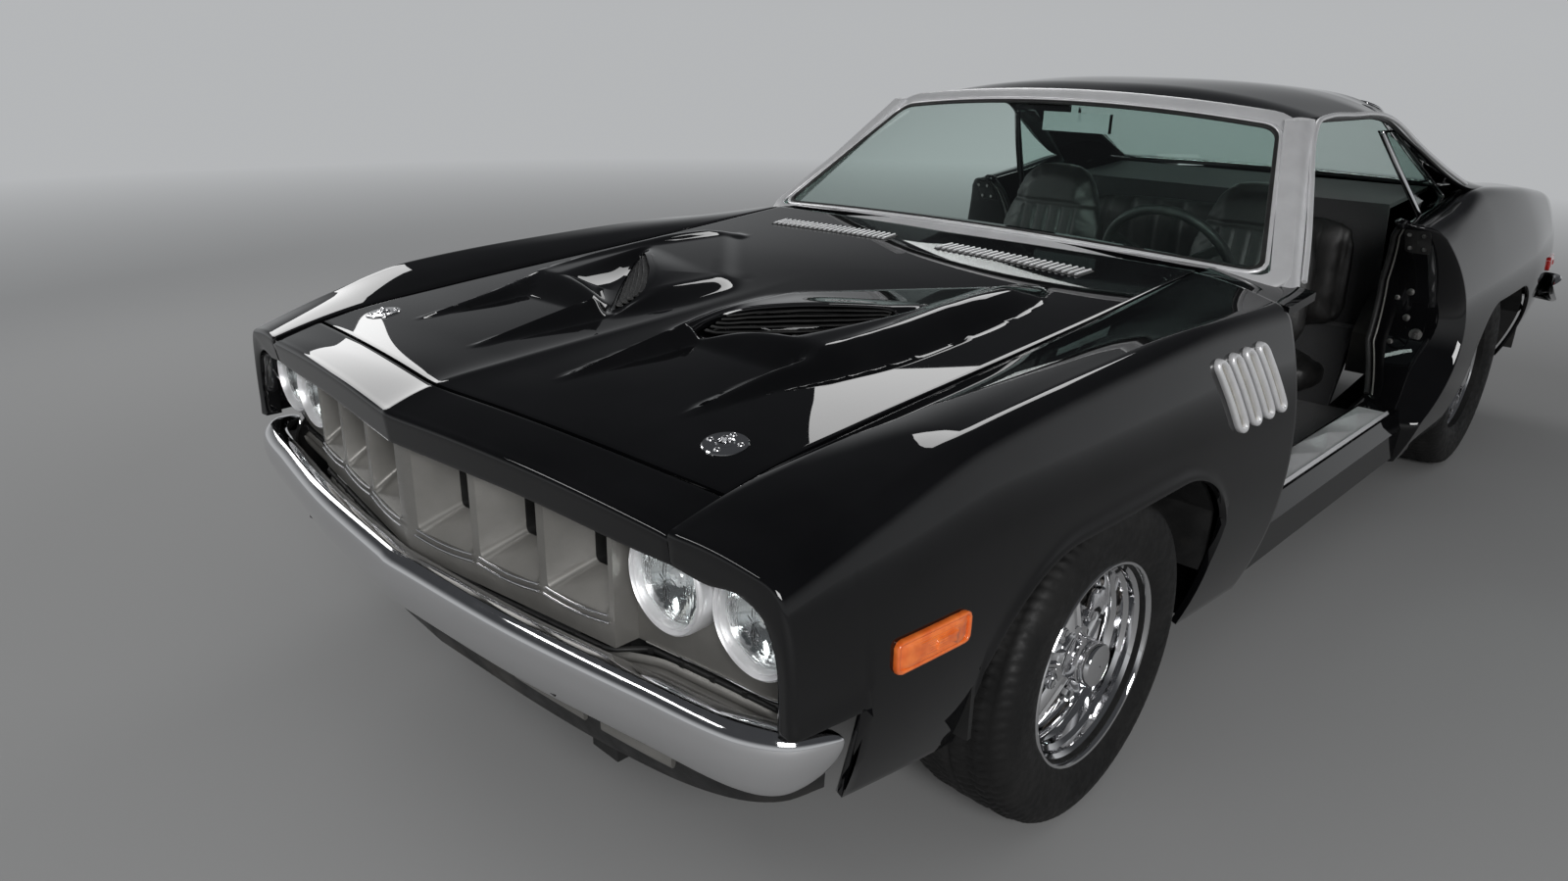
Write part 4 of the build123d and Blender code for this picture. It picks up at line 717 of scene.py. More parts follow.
def panel_grid(body, axle, top_s, low_s, low_z, inside, lip=0.0, lip_mask=0.0, shear=None):
    """A side panel as rows from its inner edge over the crest to its lower edge.

    The top row runs straight from x = inside to the crest with a swell of TOP_SWELL sin(pi t), the
    crest is a quadratic curve of CREST_ROUND each way, and below it x is side_x(s, z), where
    (s, z) goes straight from the column's top to its lower end. lip is an arch's raised edge."""
    t_top = np.linspace(0, 1, 9)[:, None]
    t_crest = np.linspace(0, 1, 8)[1:, None]
    t_side = np.linspace(0, 1, 34)[1:, None]
    s = np.broadcast_to(top_s, (1, len(top_s)))
    shift = 0.0
    for _ in range(3):
        place_s = s + shift
        crest = HALF_WIDTH - body["crease_in"](place_s), body["crease"](place_s)
        edge = inside + 0 * place_s, body["edge"](place_s)
        reach = np.hypot(crest[0] - edge[0], crest[1] - edge[1])
        start = [c + (e - c) * CREST_ROUND / reach for c, e in zip(crest, edge)]
        end_z = crest[1] - CREST_ROUND
        end = side_x(body, place_s, end_z), end_z
        shift = shear(s, crest[0]) if shear else 0.0
    flat = [blend_points(e, a, t_top) for e, a in zip(edge, start)]
    flat[1] = flat[1] + TOP_SWELL * np.sin(pi * t_top)
    early, late = (1 - t_crest) ** 2, t_crest**2
    between = 2 * t_crest * (1 - t_crest)
    bend = [early * a + between * c + late * b for a, c, b in zip(start, crest, end)]
    top = [np.concatenate(pair) for pair in zip(flat, bend)]
    shift_top = shear(s, top[0]) if shear else 0.0
    upper = stack(top[0], axle + s + shift_top, top[1])
    side_s = blend_points(s, low_s[None], t_side)
    side_z = blend_points(end_z, low_z[None], t_side)
    x = side_x(body, side_s, side_z)
    for _ in range(2):
        sheared = side_s + (shear(side_s, x) if shear else 0.0)
        x = side_x(body, sheared, side_z)
    length = np.hypot(side_s - low_s[None], side_z - low_z[None])
    x = x + lip * lip_mask * np.exp(-((length / LIP_REACH) ** 2))
    return np.concatenate([upper, stack(x, axle + sheared, side_z)])


ARCH_HALF = 0.415
ARCH_SHOULDER = 0.505
ARCH_TOP = 0.657
ARCH_KNEE = (ARCH_HALF * 0.82, 0.600)
ARCH_FLAT = ARCH_HALF * 0.45


def arch_path():
    """The wheel arch seen from the side, front to back: a rounded shoulder, a flat top and another
    shoulder."""
    start, end = (-ARCH_HALF, ARCH_SHOULDER), (-ARCH_FLAT, ARCH_TOP)
    front = arc(start, (-ARCH_KNEE[0], ARCH_KNEE[1]), end, 25)
    flat = np.linspace(-ARCH_FLAT, ARCH_FLAT, 13)[1:-1]
    middle = np.stack([flat, ARCH_TOP + 0 * flat], -1)
    return np.concatenate([front, middle, front[::-1] * (-1, 1)])


def lower_edge(body, start, end, tip=None):
    """Columns of a panel with an arch: s at the top, s and z at the lower edge, and the arch's mask.
    With a tip (s, z) the panel's lower edge steps up to z in front of s."""
    arch = arch_path()
    legs = 9
    ahead = np.linspace(start, -ARCH_HALF, 22)
    behind = np.linspace(ARCH_HALF, end, 22)
    foot = body["foot"]
    ahead_z = foot(ahead)
    if tip:
        before_tip = np.linspace(start, tip[0] - 0.001, 12)
        past_tip = np.linspace(tip[0] + 0.001, -ARCH_HALF, 12)
        ahead = np.concatenate([before_tip, past_tip])
        ahead_z = np.where(ahead < tip[0], tip[1], foot(ahead))
    up = np.linspace(float(foot(-ARCH_HALF)), ARCH_SHOULDER, legs)[1:-1]
    down = np.linspace(ARCH_SHOULDER, float(foot(ARCH_HALF)), legs)[1:-1]
    low = np.concatenate(
        [
            np.stack([ahead, ahead_z], -1),
            np.stack([-ARCH_HALF + 0 * up, up], -1),
            arch,
            np.stack([ARCH_HALF + 0 * down, down], -1),
            np.stack([behind, foot(behind)], -1),
        ]
    )
    turn_front, turn_back = start + 0.6 * (-ARCH_HALF - start), end + 0.6 * (ARCH_HALF - end)
    steps = (len(ahead) - 1, len(up) + 1, len(arch) - 1, len(down) + 1, len(behind) - 1)
    knots = np.cumsum([0, *steps])
    over = [start, turn_front, -ARCH_HALF, ARCH_HALF, turn_back, end]
    top = np.interp(np.arange(len(low)), knots, over)
    mask = ramp(low[:, 1], float(foot(0.0)) + 0.09, ARCH_SHOULDER + 0.02)
    return top, low[:, 0], low[:, 1], mask


FENDER_TIP = (-0.730, 0.556)
FENDER_REAR = 0.722
FENDER_LIP = 0.0055
# The lower and inner edge of a fender's front face, as (x, z) from the header to the tip
BROW_LINE = [
    (0.678, 0.738),
    (0.742, 0.731),
    (0.800, 0.735),
    (0.838, 0.716),
    (0.860, 0.672),
    (0.868, 0.610),
    (0.868, 0.556),
]
BROW_ROUND = 0.012
BROW_SHELF = 0.035


def fender_pieces():
    """Both front fenders. The front edge rolls over by BROW_ROUND towards the panel's inside, and a
    face goes from there to BROW_LINE, round the lamps."""
    top, low_s, low_z, mask = lower_edge(FRONT, FRONT_EDGE + BROW_ROUND, FENDER_REAR, FENDER_TIP)
    inside = HOOD_HALF + SHUT_GAP
    shape = (FRONT, FRONT_AXLE, top, low_s, low_z, inside)
    shell = panel_grid(*shape, FENDER_LIP, mask[None], nose_shear)
    edge = shell[:, 0]
    ahead = unit(np.gradient(edge[:, [0, 2]], axis=0))
    turn = np.linspace(0, pi / 2, 6)[None, :, None]
    inwards = stack(ahead[:, 1], 0 * ahead[:, 0], -ahead[:, 0])[:, None]
    roll = edge[:, None] + BROW_ROUND * (inwards * (1 - np.cos(turn)) + np.sin(turn) * (0, -1, 0))
    line = smooth_path(BROW_LINE, len(edge))
    low = stack(line[:, 0], NOSE + NOSE_SWEEP * line[:, 0] + 0.006, line[:, 1])
    share = np.linspace(0, 1, 5)[None, 1:, None]
    face = blend_points(roll[:, -1:], low[:, None], share)
    shelf = low[:, None] + np.linspace(0, BROW_SHELF, 4)[None, 1:, None] * (0, 1, 0)
    brow = np.concatenate([roll, face, shelf], 1)
    behind = (0, FRONT_AXLE, 0.5)
    patches = both_sides([shell, brow])
    skin("fender_panels", patches, behind, "paint", SHEET, SHEET_EDGE, stands_for=("fenders",))


fender_pieces()

# Hood: two bulges with a swept scoop in each
INNER_TIP = (0.150, -0.645)
MOUTH_START = -0.343
BLADE_RISE = 0.036
ROOF_RISE = 0.038
KEEL_RISE = 0.004
KEEL_REACH = 0.03
# The outer roll's crest, height and half width at places along the hood
RIDGE_X = smooth_table(
    (-0.616, 0.439), (-0.430, 0.444), (-0.284, 0.470), (-0.090, 0.489), (0.104, 0.488), (0.380, 0.468)
)
RIDGE_RISE = smooth_table(
    (-0.616, 0), (-0.430, 0.018), (-0.284, 0.030), (-0.090, 0.040),
    (0.104, 0.042), (0.240, 0.034), (0.330, 0.014), (0.385, 0),
)
RIDGE_HALF = smooth_table(
    (-0.616, 0.006), (-0.430, 0.028), (-0.284, 0.044), (-0.090, 0.058),
    (0.104, 0.066), (0.300, 0.062), (0.385, 0.030),
)


def lid_height(body, x, s, half):
    """A crowned lid: crown - (crown - edge) (x / half)^2."""
    crown, edge = body["crown"](s), body["edge"](s)
    return crown - (crown - edge) * (x / half) ** 2


def soft_max(*heights):
    """The greatest of several heights with a rounded join: (sum of h^6)^(1/6)."""
    return sum(np.maximum(h, 0) ** 6 for h in heights) ** (1 / 6)


def hood_rise(x, s):
    """How far the left bulge stands over the hood: an inner blade, an outer roll and the scoop's
    roof.

    The blade is a tent round INNER_TIP's x that grows from its tip, the roll a parabola round
    RIDGE_X, and the roof a flat top between them that falls away to the rear."""
    grown = np.clip((s - INNER_TIP[1]) / (MOUTH_START - INNER_TIP[1]), 0, 1)
    past = 1 - ramp(s, MOUTH_START + 0.02, MOUTH_START + 0.10)
    width = np.where(x < INNER_TIP[0], 0.010 + 0.046 * grown, 0.008 + 0.026 * grown)
    blade = BLADE_RISE * grown**0.9 * np.clip(1 - np.abs(x - INNER_TIP[0]) / width, 0, 1) * past
    across = (x - RIDGE_X(s)) / RIDGE_HALF(s)
    roll = RIDGE_RISE(s) * np.maximum(1 - across**2, 0) ** 1.15
    roll = roll * ramp(s, -0.616, -0.600) * (1 - ramp(s, 0.36, 0.385))
    rear = -0.06 + 0.92 * (x - 0.08)
    inner = 0.118 - 0.030 * ramp(s, -0.34, -0.15) + 0.05 * ramp(s, -0.05, 0.20)
    fall = 1 - 0.62 * np.clip((s - (x - 0.44)) / 0.36, 0, 1)
    inner_side = ramp(x, inner - 0.055, inner + 0.035)
    outer_side = 1 - ramp(x, RIDGE_X(s) - 0.01, RIDGE_X(s) + 0.03)
    roof = ROOF_RISE * fall * inner_side * (1 - ramp(s, rear, rear + 0.09)) * outer_side
    roof = roof * ramp(s, MOUTH_START - 0.02, MOUTH_START + 0.06)
    return soft_max(blade, roll, roof)


def hood_height(x, s):
    """The hood's height with a bulge on each side and the keel at the nose."""
    keel = KEEL_RISE * np.exp(-np.abs(x) / KEEL_REACH) * (1 - ramp(s, -0.80, 0.20))
    return lid_height(FRONT, x, s, HOOD_HALF) + hood_rise(np.abs(x), s) + keel


# The scoop's mouth, as (x, s, rise over the plain hood) round its edge from the inner end
MOUTH = np.array(
    [
        (0.126, -0.322, 0.004),
        (0.160, -0.305, -0.004),
        (0.215, -0.252, -0.006),
        (0.275, -0.196, -0.006),
        (0.340, -0.130, -0.004),
        (0.395, -0.066, 0.004),
        (0.414, -0.036, 0.016),
        (0.410, -0.020, 0.030),
        (0.385, -0.030, 0.038),
        (0.330, -0.066, 0.040),
        (0.255, -0.118, 0.039),
        (0.180, -0.182, 0.034),
        (0.140, -0.225, 0.026),
        (0.120, -0.270, 0.016),
        (0.118, -0.305, 0.008),
    ]
)


# Steps of the mouth's edge into the scoop: shift back, share of its size, and rise
TUNNEL_STEPS = (
    (0.0, 0.985, -0.004),
    (0.006, 0.955, -0.010),
    (0.03, 0.93, -0.016),
    (0.07, 0.90, -0.022),
    (0.11, 0.86, -0.028),
)
TUNNEL_MIDDLE = (0.265, FRONT_AXLE - 0.145, 0.900)
# The hood's grid and the rows and columns of its window round a scoop
HOOD_ROWS = 150
WINDOW_ROWS = (38, 86)
WINDOW_COLUMNS = (6, 46)


def closed_curve(points, count):
    """count points evenly along a smooth closed curve through the given ones (Catmull-Rom)."""
    p = np.asarray(points, float)
    a, b, c, d = (np.roll(p, k, 0)[:, None] for k in (1, 0, -1, -2))
    t = np.linspace(0, 1, 24, endpoint=False)[None, :, None]
    bend, twist = 2 * a - 5 * b + 4 * c - d, 3 * b - a - 3 * c + d
    curve = 0.5 * (2 * b + (c - a) * t + bend * t**2 + twist * t**3)
    curve = curve.reshape(-1, p.shape[1])
    closed = np.concatenate([curve, curve[:1]])
    run = run_along(closed)
    want = np.linspace(0, 1, count, endpoint=False) * run[-1]
    return np.stack([np.interp(want, run, closed[:, k]) for k in range(p.shape[1])], -1)


def mouth_ring(window):
    """The ring from the grid's window to the scoop's mouth. Its plan points go straight from
    window to mouth, and the height eases from hood_height to the mouth's own edge."""
    window = window - (0, FRONT_AXLE, 0)
    mouth = closed_curve(MOUTH, len(window))

    def way(k):
        return np.abs(np.roll(mouth, -k, 0)[:, :2] - window[:, :2]).sum()

    mouth = np.roll(mouth, -min(range(len(window)), key=way), 0)
    share = np.linspace(0, 1, 16)[:, None, None]
    plan = blend_points(window[None, :, :2], mouth[None, :, :2], share)
    z = hood_height(plan[..., 0], plan[..., 1])
    edge_z = lid_height(FRONT, mouth[:, 0], mouth[:, 1], HOOD_HALF) + mouth[:, 2]
    z = z + (edge_z - z[-1])[None] * ramp(share[..., 0], 0.45, 1.0)
    return stack(plan[..., 0], FRONT_AXLE + plan[..., 1], z)


def scoop_tunnel(edge):
    """The lip and the tunnel behind a mouth's edge, closed at its far end."""
    middle = np.array(TUNNEL_MIDDLE)
    tunnel = [edge]
    for back, size, rise in TUNNEL_STEPS:
        tunnel.append(middle + (edge - middle) * size + (-0.6 * back, back, rise))
    tunnel.append(tunnel[-1] * (1, 1, 0.3) + (0, 0, 0.7 * tunnel[-1][:, 2].mean()))
    tunnel.append(blend_points(tunnel[-1], tunnel[-1].mean(0), 0.92))
    return np.stack(tunnel)


def hood_patches():
    """The left half of the hood: a grid with a window, the ring in it and the scoop's tunnel."""
    x = np.concatenate([np.linspace(0, 0.06, 6)[:-1], np.linspace(0.06, HOOD_HALF, 62)])
    t = np.linspace(0, 1, HOOD_ROWS)[:, None]
    front = HOOD_FRONT - FRONT_AXLE + HOOD_SWEEP * x
    rear = HOOD_REAR - FRONT_AXLE + HOOD_REAR_SWEEP * x
    s = blend_points(front[None], rear[None], t)
    grid = stack(x[None], FRONT_AXLE + s, hood_height(x[None] + 0 * s, s))
    (top, bottom), (left, right) = WINDOW_ROWS, WINDOW_COLUMNS
    window = [
        grid[top, left:right],
        grid[top:bottom, right],
        grid[bottom, right:left:-1],
        grid[bottom:top:-1, left],
    ]
    ring = mouth_ring(np.concatenate(window))
    beside = slice(top, bottom + 1)
    blocks = [grid[: top + 1], grid[bottom:], grid[beside, : left + 1], grid[beside, right:]]
    return blocks + [(ring, False, True), (scoop_tunnel(ring[-1]), False, True)]


def hood_piece():
    """The hood with both scoops."""
    patches = both_sides(hood_patches())
    behind = (0, FRONT_AXLE, 0.2)
    skin("hood_panel", patches, behind, "paint", SHEET, SHEET_EDGE, "hood", stands_for=("hood",))


hood_piece()

HEADER_ROUND = 0.012


def header_pieces():
    """The header over the grille: a crowned strip with a V plan and a keel, and a face that drops
    to the lip."""
    half = HOOD_HALF + SHUT_GAP
    x = np.concatenate([np.linspace(0, 0.05, 8)[:-1], np.linspace(0.05, half, 40)])
    front = NOSE - FRONT_AXLE + NOSE_SWEEP * x
    rear = HOOD_FRONT - FRONT_AXLE - SWING_GAP + HOOD_SWEEP * x
    t = np.linspace(0, 1, 14)[:, None]
    s = blend_points(front[None] + HEADER_ROUND, rear[None], t)
    keel = KEEL_RISE * np.exp(-x / KEEL_REACH)
    top = stack(x[None], FRONT_AXLE + s, lid_height(FRONT, x[None], s, half) + keel)
    drop = top[0, :, 2] - LIP_BOTTOM + 0.012 * ramp(x, 0.30, 0.66)

    def below(row, back, down):
        return stack(x[None], row[None, :, 1] + back, row[None, :, 2] - down)

    turn = np.linspace(0, pi / 2, 7)[:, None]
    roll = below(top[0], -HEADER_ROUND * np.sin(turn), HEADER_ROUND * (1 - np.cos(turn)))
    fall = np.linspace(0, 1, 8)[1:, None]
    face = below(roll[-1], 0.006 * fall, (drop - HEADER_ROUND) * fall)
    under = np.linspace(0, 1, 4)[1:, None]
    shelf = below(face[-1], 0.04 * under, 0 * under)
    grid = np.concatenate([top[::-1], roll[1:], face, shelf])
    behind = (0, NOSE + 0.3, 0.6)
    patches = both_sides([grid])
    skin("header_skin", patches, behind, "paint", 0.008, 0.0012, stands_for=("header_panel",))


header_pieces()

# Quarter panels, deck lid and the strip in front of it
LOCK_LOW = (-0.789, 0.356)
LOCK_MID = (-0.612, 0.690)
LOCK_TOP = (-0.753, 0.960)
LOCK_LINE = arc(LOCK_LOW, LOCK_MID, LOCK_TOP, 60)
# x of the lock pillar's inner edge at heights z
JAMB_INSIDE = ([0.21, 0.36, 0.55, 0.75, 0.90, 0.97], [0.80, 0.76, 0.690, 0.690, 0.715, 0.752])
QUARTER_REAR = 1.010
QUARTER_INSIDE = smooth_table(
    (-0.80, BELT_INSIDE), (-0.30, BELT_INSIDE), (-0.15, 0.720),
    (0.03, DECK_HALF + SHUT_GAP), (1.10, DECK_HALF + SHUT_GAP),
)


def lock_line(z):
    """s of the lock pillar's front edge at height z."""
    return np.interp(z, LOCK_LINE[:, 1], LOCK_LINE[:, 0])


def jamb_inside(z):
    """x of the lock pillar's inner edge at height z."""
    return np.interp(z, *JAMB_INSIDE)


def jamb_swell(t):
    """How far the lock pillar's face stands forward at share t of its depth."""
    return 0.020 * np.sin(pi * t) ** 0.8


def quarter_pieces():
    """Both quarter panels. The front edge follows the lock pillar's arc, so each column's s is
    moved back by the arc's depth at its height, fading out behind it."""
    top, low_s, low_z, _ = lower_edge(REAR, LOCK_LOW[0], QUARTER_REAR)
    shell = panel_grid(REAR, REAR_AXLE, top, low_s, low_z, QUARTER_INSIDE(top)[None])
    height = np.clip(shell[..., 2], LOCK_LOW[1], LOCK_TOP[1])
    s = shell[..., 1] - REAR_AXLE
    fade = 1 - ramp(s, LOCK_LOW[0], -0.43)
    s = s + (lock_line(height) - LOCK_LOW[0]) * fade
    under_crest = shell[..., 2] < REAR["crease"](s) - CREST_ROUND
    shell[..., 0] = np.where(under_crest, side_x(REAR, s, shell[..., 2]), shell[..., 0])
    shell[..., 1] = REAR_AXLE + s
    first = shell[:, :1]
    t = np.linspace(0, 1, 22)[None]
    reach = np.minimum(jamb_inside(first[..., 2]), first[..., 0])
    across = blend_points(first[..., 0], reach, t)
    jamb = stack(across, first[..., 1] - jamb_swell(t), first[..., 2])
    behind = (0, REAR_AXLE, 0.5)
    patches = both_sides([shell, jamb])
    skin("quarter_skins", patches, behind, "paint", SHEET, SHEET_EDGE, stands_for=("quarter_panels",))


quarter_pieces()


def lid_piece(name, start, end, riding, stands_for):
    """A crowned lid of the rear deck, x from edge to edge."""
    x = np.linspace(-DECK_HALF, DECK_HALF, 60)
    rows = 4 + int(40 * (end - start))
    s = np.linspace(start - REAR_AXLE, end - REAR_AXLE, rows)[:, None]
    grid = stack(x[None], REAR_AXLE + s, lid_height(REAR, x[None], s, DECK_HALF))
    behind = (0, REAR_AXLE, 0.2)
    skin(name, [grid], behind, "paint", SHEET, SHEET_EDGE, riding, stands_for=stands_for)


lid_piece("deck_skin", DECK_FRONT, DECK_REAR, "deck_lid", ("deck_lid",))
lid_piece("deck_strip", TULIP_FRONT, DECK_FRONT - 0.017, "body", ("tulip_panel",))

# Roof and sail panels, as lines over y
ROOF_CROWN = smooth_table((-0.208, 1.300), (0.020, 1.335), (0.330, 1.3475), (0.690, 1.328))
# The outer line of the roof and the sails, then the rear window's edge
OUT_Y = [-0.208, 0.020, 0.330, 0.498, 0.690, 1.130, 1.375]
OUT_X = smooth_line(OUT_Y, [0.634, 0.656, 0.668, 0.672, 0.706, 0.792, 0.806])
OUT_Z = smooth_line(OUT_Y, [1.250, 1.262, 1.262, 1.245, 1.168, 1.014, 1.000])
WINDOW_HALF = 0.572
WINDOW_X = smooth_table((0.683, WINDOW_HALF), (1.130, 0.590), (1.375, 0.604))
WINDOW_Z = smooth_table((0.683, 1.278), (1.130, 1.118), (1.375, 1.010))
SHOULDER = smooth_table((-0.208, 2.5), (0.330, 3.0), (0.683, 5.2))
ROOF_FRONT = -0.198
ROOF_REAR = 0.673
SAIL_REAR = 1.375
ROOF_COLUMNS = 40


def roof_piece():
    """The roof and its sail panels. Across the roof z falls from the crown by (x / x_out)^p, with p
    from SHOULDER; behind it each sail runs from the rear window's edge to its outer line with a
    swell of 12 mm sin(pi t) that falls to 40% at the sail's rear."""
    t = np.linspace(0, 1, ROOF_COLUMNS)
    run = np.linspace(0, 1, 70)[:, None]
    front = ROOF_FRONT + 0.050 * t**2
    rear = ROOF_REAR + 0.012 * t**2
    y = blend_points(front[None], rear[None], run)
    x = t[None] * OUT_X(y)
    z = OUT_Z(y) + (ROOF_CROWN(y) - OUT_Z(y)) * (1 - t[None] ** SHOULDER(y))
    roof = stack(x, y, z)
    corner = WINDOW_HALF / float(OUT_X(0.683))
    edge = roof[-1, int(round(corner * (ROOF_COLUMNS - 1))) :]
    along = np.linspace(0, 1, 46)[:, None]
    share = np.linspace(0, 1, len(edge))[None]
    sail_y = blend_points(edge[None, :, 1], SAIL_REAR, along)
    x = blend_points(WINDOW_X(sail_y), OUT_X(sail_y), share)
    z = blend_points(WINDOW_Z(sail_y), OUT_Z(sail_y), share)
    z = z + 0.012 * np.sin(pi * share) * (1 - 0.6 * along)
    sail = stack(x, sail_y, z)
    gap = (edge - sail[0])[None] * (1 - ramp(along, 0, 0.3))[..., None]
    sail = sail + gap
    patches = both_sides([roof, sail])
    skin("roof_skin", patches, (0, 0.5, 0.8), "paint", 0.012, 0.0014, stands_for=("roof",))


roof_piece()


def windshield_point(t, up):
    """A point of the windshield: t from -1 to 1 across, up from 0 at the cowl to 1 at the roof, on
    straight lines between two parabolas with a swell of 14 mm in the middle."""
    base = stack(0.815 * t, FRONT_AXLE + 0.776 + 0.076 * t**2, 0.944 - 0.028 * t**2)
    head = stack(0.626 * t, FRONT_AXLE + 1.232 + 0.050 * t**2, 1.292 - 0.040 * t**2)
    swell = 0.014 * 4 * up * (1 - up) * (1 - t**2)
    return blend_points(base, head, np.asarray(up)[..., None]) + stack(0 * swell, -0.6 * swell, 0.8 * swell)


def windshield_piece():
    """The windshield's pane."""
    t = np.linspace(-1, 1, 61)[None]
    up = np.linspace(0, 1, 31)[:, None]
    grid = windshield_point(t + 0 * up, up + 0 * t)
    skin("windshield_glass", [grid], (0, 0, 0.5), "tinted_glass", 0.005, stands_for=("windshield",))


windshield_piece()


# Windshield frame: bright trim, rubber, pillars and drip rails. The pillars are black paint, and their
# bright satin finish is a painted reflection

SCREEN_WIDE = 1.44
SCREEN_HIGH = 0.574


def screen_ring(inset, radius=0.055, count=220):
    """A line round the windshield at a distance inside its edge, with round corners."""
    ring = frame_outline(SCREEN_WIDE - 2 * inset, SCREEN_HIGH - 2 * inset, radius, count)
    t, up = 2 * ring[:, 0] / SCREEN_WIDE, 0.5 + ring[:, 1] / SCREEN_HIGH
    return windshield_point(t, up), unit(np.stack([0.30 * t, -0.60 + 0 * t, 0.78 + 0 * t], -1))


# Corners of the left windshield pillar's section at its foot and head, y from the front axle
PILLAR_FOOT = [(0.792, 0.856, 0.912), (0.840, 0.872, 0.912), (0.838, 0.935, 0.912), (0.800, 0.925, 0.912)]
PILLAR_HEAD = [(0.622, 1.252, 1.262), (0.662, 1.262, 1.262), (0.668, 1.335, 1.262), (0.630, 1.330, 1.266)]
# The drip rail's line below the roof
RAIL_FOOT = [
    (0.848, -0.505, 0.922),
    (0.812, -0.418, 0.998),
    (0.751, -0.285, 1.112),
    (0.694, -0.160, 1.214),
    (0.670, -0.080, 1.254),
]


def pillar_patch():
    """The left windshield pillar: a rounded section that goes straight from foot to head."""
    corners = (np.array(end) + (0, FRONT_AXLE, 0) for end in (PILLAR_FOOT, PILLAR_HEAD))
    low, high = (even(closed_curve(end, 32), 32) for end in corners)
    t = np.linspace(-0.06, 1.0, 24)[:, None, None]
    return (closed_ends(blend_points(low[None], high[None], t)), False, True)


def rail_path():
    """The drip rail's line: up the pillar, along the roof's side and down the sail to the quarter."""
    y = np.array([0.02, 0.20, 0.33, 0.45, 0.55, 0.69, 0.88, 1.04])
    roof = stack(OUT_X(y) + 0.006, y, OUT_Z(y) + 0.004)
    return smooth_path(np.concatenate([RAIL_FOOT, roof]), 150)


def windshield_frame():
    """Trim with an inner bead, rubber, pillars and drip rails."""
    outer, normal = screen_ring(-0.006)
    inner, _ = screen_ring(0.022, 0.045)
    trim = carry(outer + 0.005 * normal, rounded(0.046, 0.012, 3), normal, True)
    bead = carry(inner + 0.006 * normal, rounded(0.010, 0.010, 2.4), normal, True)
    piece("windshield_trim", [trim, bead], "satin", slot="chrome")
    line, _ = screen_ring(0.031, 0.04)
    rubber = carry(line + 0.003 * normal, rounded(0.012, 0.009), normal, True)
    piece("windshield_rubber", [rubber], "black_plastic")
    # Painted reflection: the black painted pillars get the bright satin trim finish.
    piece("windshield_pillars", both_sides([pillar_patch()]), "satin", slot="paint")
    rail = rail_path()
    lean = unit(np.stack([0.8 + 0 * rail[:, 0], -0.1 + 0 * rail[:, 0], 0.6 + 0 * rail[:, 0]], -1))
    gutter = carry(rail + 0.002 * lean, rounded(0.013, 0.011, 3), lean)
    piece("drip_rails", both_sides([gutter]), "satin", slot="chrome")


windshield_frame()


REAR_TRIM_WIDE = 1.19
REAR_TRIM_HIGH = 0.78
# The line of the bar in front of the left quarter window
QUARTER_BAR = [(0.640, 0.556, 1.206), (0.676, 0.640, 1.110), (0.712, 0.722, 1.015), (0.752, 0.806, 0.905)]


def rear_window_point(t, up):
    """A point of the rear window, straight between its lower and upper curves."""
    base = stack(0.600 * t, REAR_AXLE + 0.078 - 0.018 * t**2, 1.004 - 0.008 * t**2)
    head = stack(0.570 * t, REAR_AXLE - 0.640 + 0.012 * t**2, 1.318 - 0.042 * t**2)
    return blend_points(base, head, np.asarray(up)[..., None])


def quarter_window_line(count=90):
    """Round the left quarter window, on the plane x = 0.762 - 0.376 (z - 0.885)."""
    corners = np.array([(-0.756, 1.206), (-0.640, 1.206), (-0.245, 0.990), (-0.500, 0.915)])
    line = even(np.concatenate([even(corners, 60), corners[:1]]), count, False)[:-1]
    z = line[:, 1]
    return stack(0.762 - 0.376 * (z - 0.885), REAR_AXLE + line[:, 0], z)


def window_trims():
    """Bright frames of the rear window and the quarter windows, and the windows' front bars."""
    ring = frame_outline(REAR_TRIM_WIDE, REAR_TRIM_HIGH, 0.05, 200)
    t, up = 2 * ring[:, 0] / REAR_TRIM_WIDE, 0.5 + ring[:, 1] / REAR_TRIM_HIGH
    normal = unit(np.array([0, 0.40, 0.92]) + 0 * ring[:, :1])
    line = rear_window_point(t, up) + 0.006 * normal
    piece("rear_window_trim", [carry(line, rounded(0.020, 0.008, 3), normal, True)], "chrome")
    line = quarter_window_line()
    out = (0.936, 0, 0.352)
    surround = carry(line + 0.003 * np.array(out), rounded(0.008, 0.008, 3), out, True)
    bar = smooth_path(QUARTER_BAR, 30)
    bow = np.sin(np.linspace(0, pi, 30))[:, None] * (0.0, -0.012, 0.0)
    front_bar = carry(bar + bow + (0.006, 0, 0), rounded(0.024, 0.014, 2.6), out)
    piece("quarter_window_trims", both_sides([surround, front_bar]), "chrome")


window_trims()

# Bumpers: a rounded blade carried along the plan and drawn in at its tips. The plans give x, s and
# the blade's turn in degrees
FRONT_PLAN = [
    (0, -0.938, 0),
    (0.32, -0.916, 3),
    (0.640, -0.872, 10),
    (0.800, -0.845, 22),
    (0.882, -0.800, 50),
    (0.930, -0.722, 76),
]
REAR_PLAN = [
    (0, 1.0565, 0),
    (0.36, 1.0535, -2),
    (0.700, 1.046, -8),
    (0.830, 1.022, -34),
    (0.896, 0.960, -66),
    (0.916, 0.840, -84),
]
# Depth behind the blade's foremost line, and z, from its upper to its lower edge
FACE_DEPTHS = (0.044, 0.022, 0.006, 0.000, 0.008, 0.024)
FRONT_FACE = [*zip(FACE_DEPTHS, (0.549, 0.550, 0.538, 0.506, 0.468, 0.436)), (0.046, 0.418)]
REAR_FACE = [*zip(FACE_DEPTHS, (0.600, 0.598, 0.584, 0.550, 0.520, 0.498)), (0.044, 0.486)]
TIP_START = 0.85


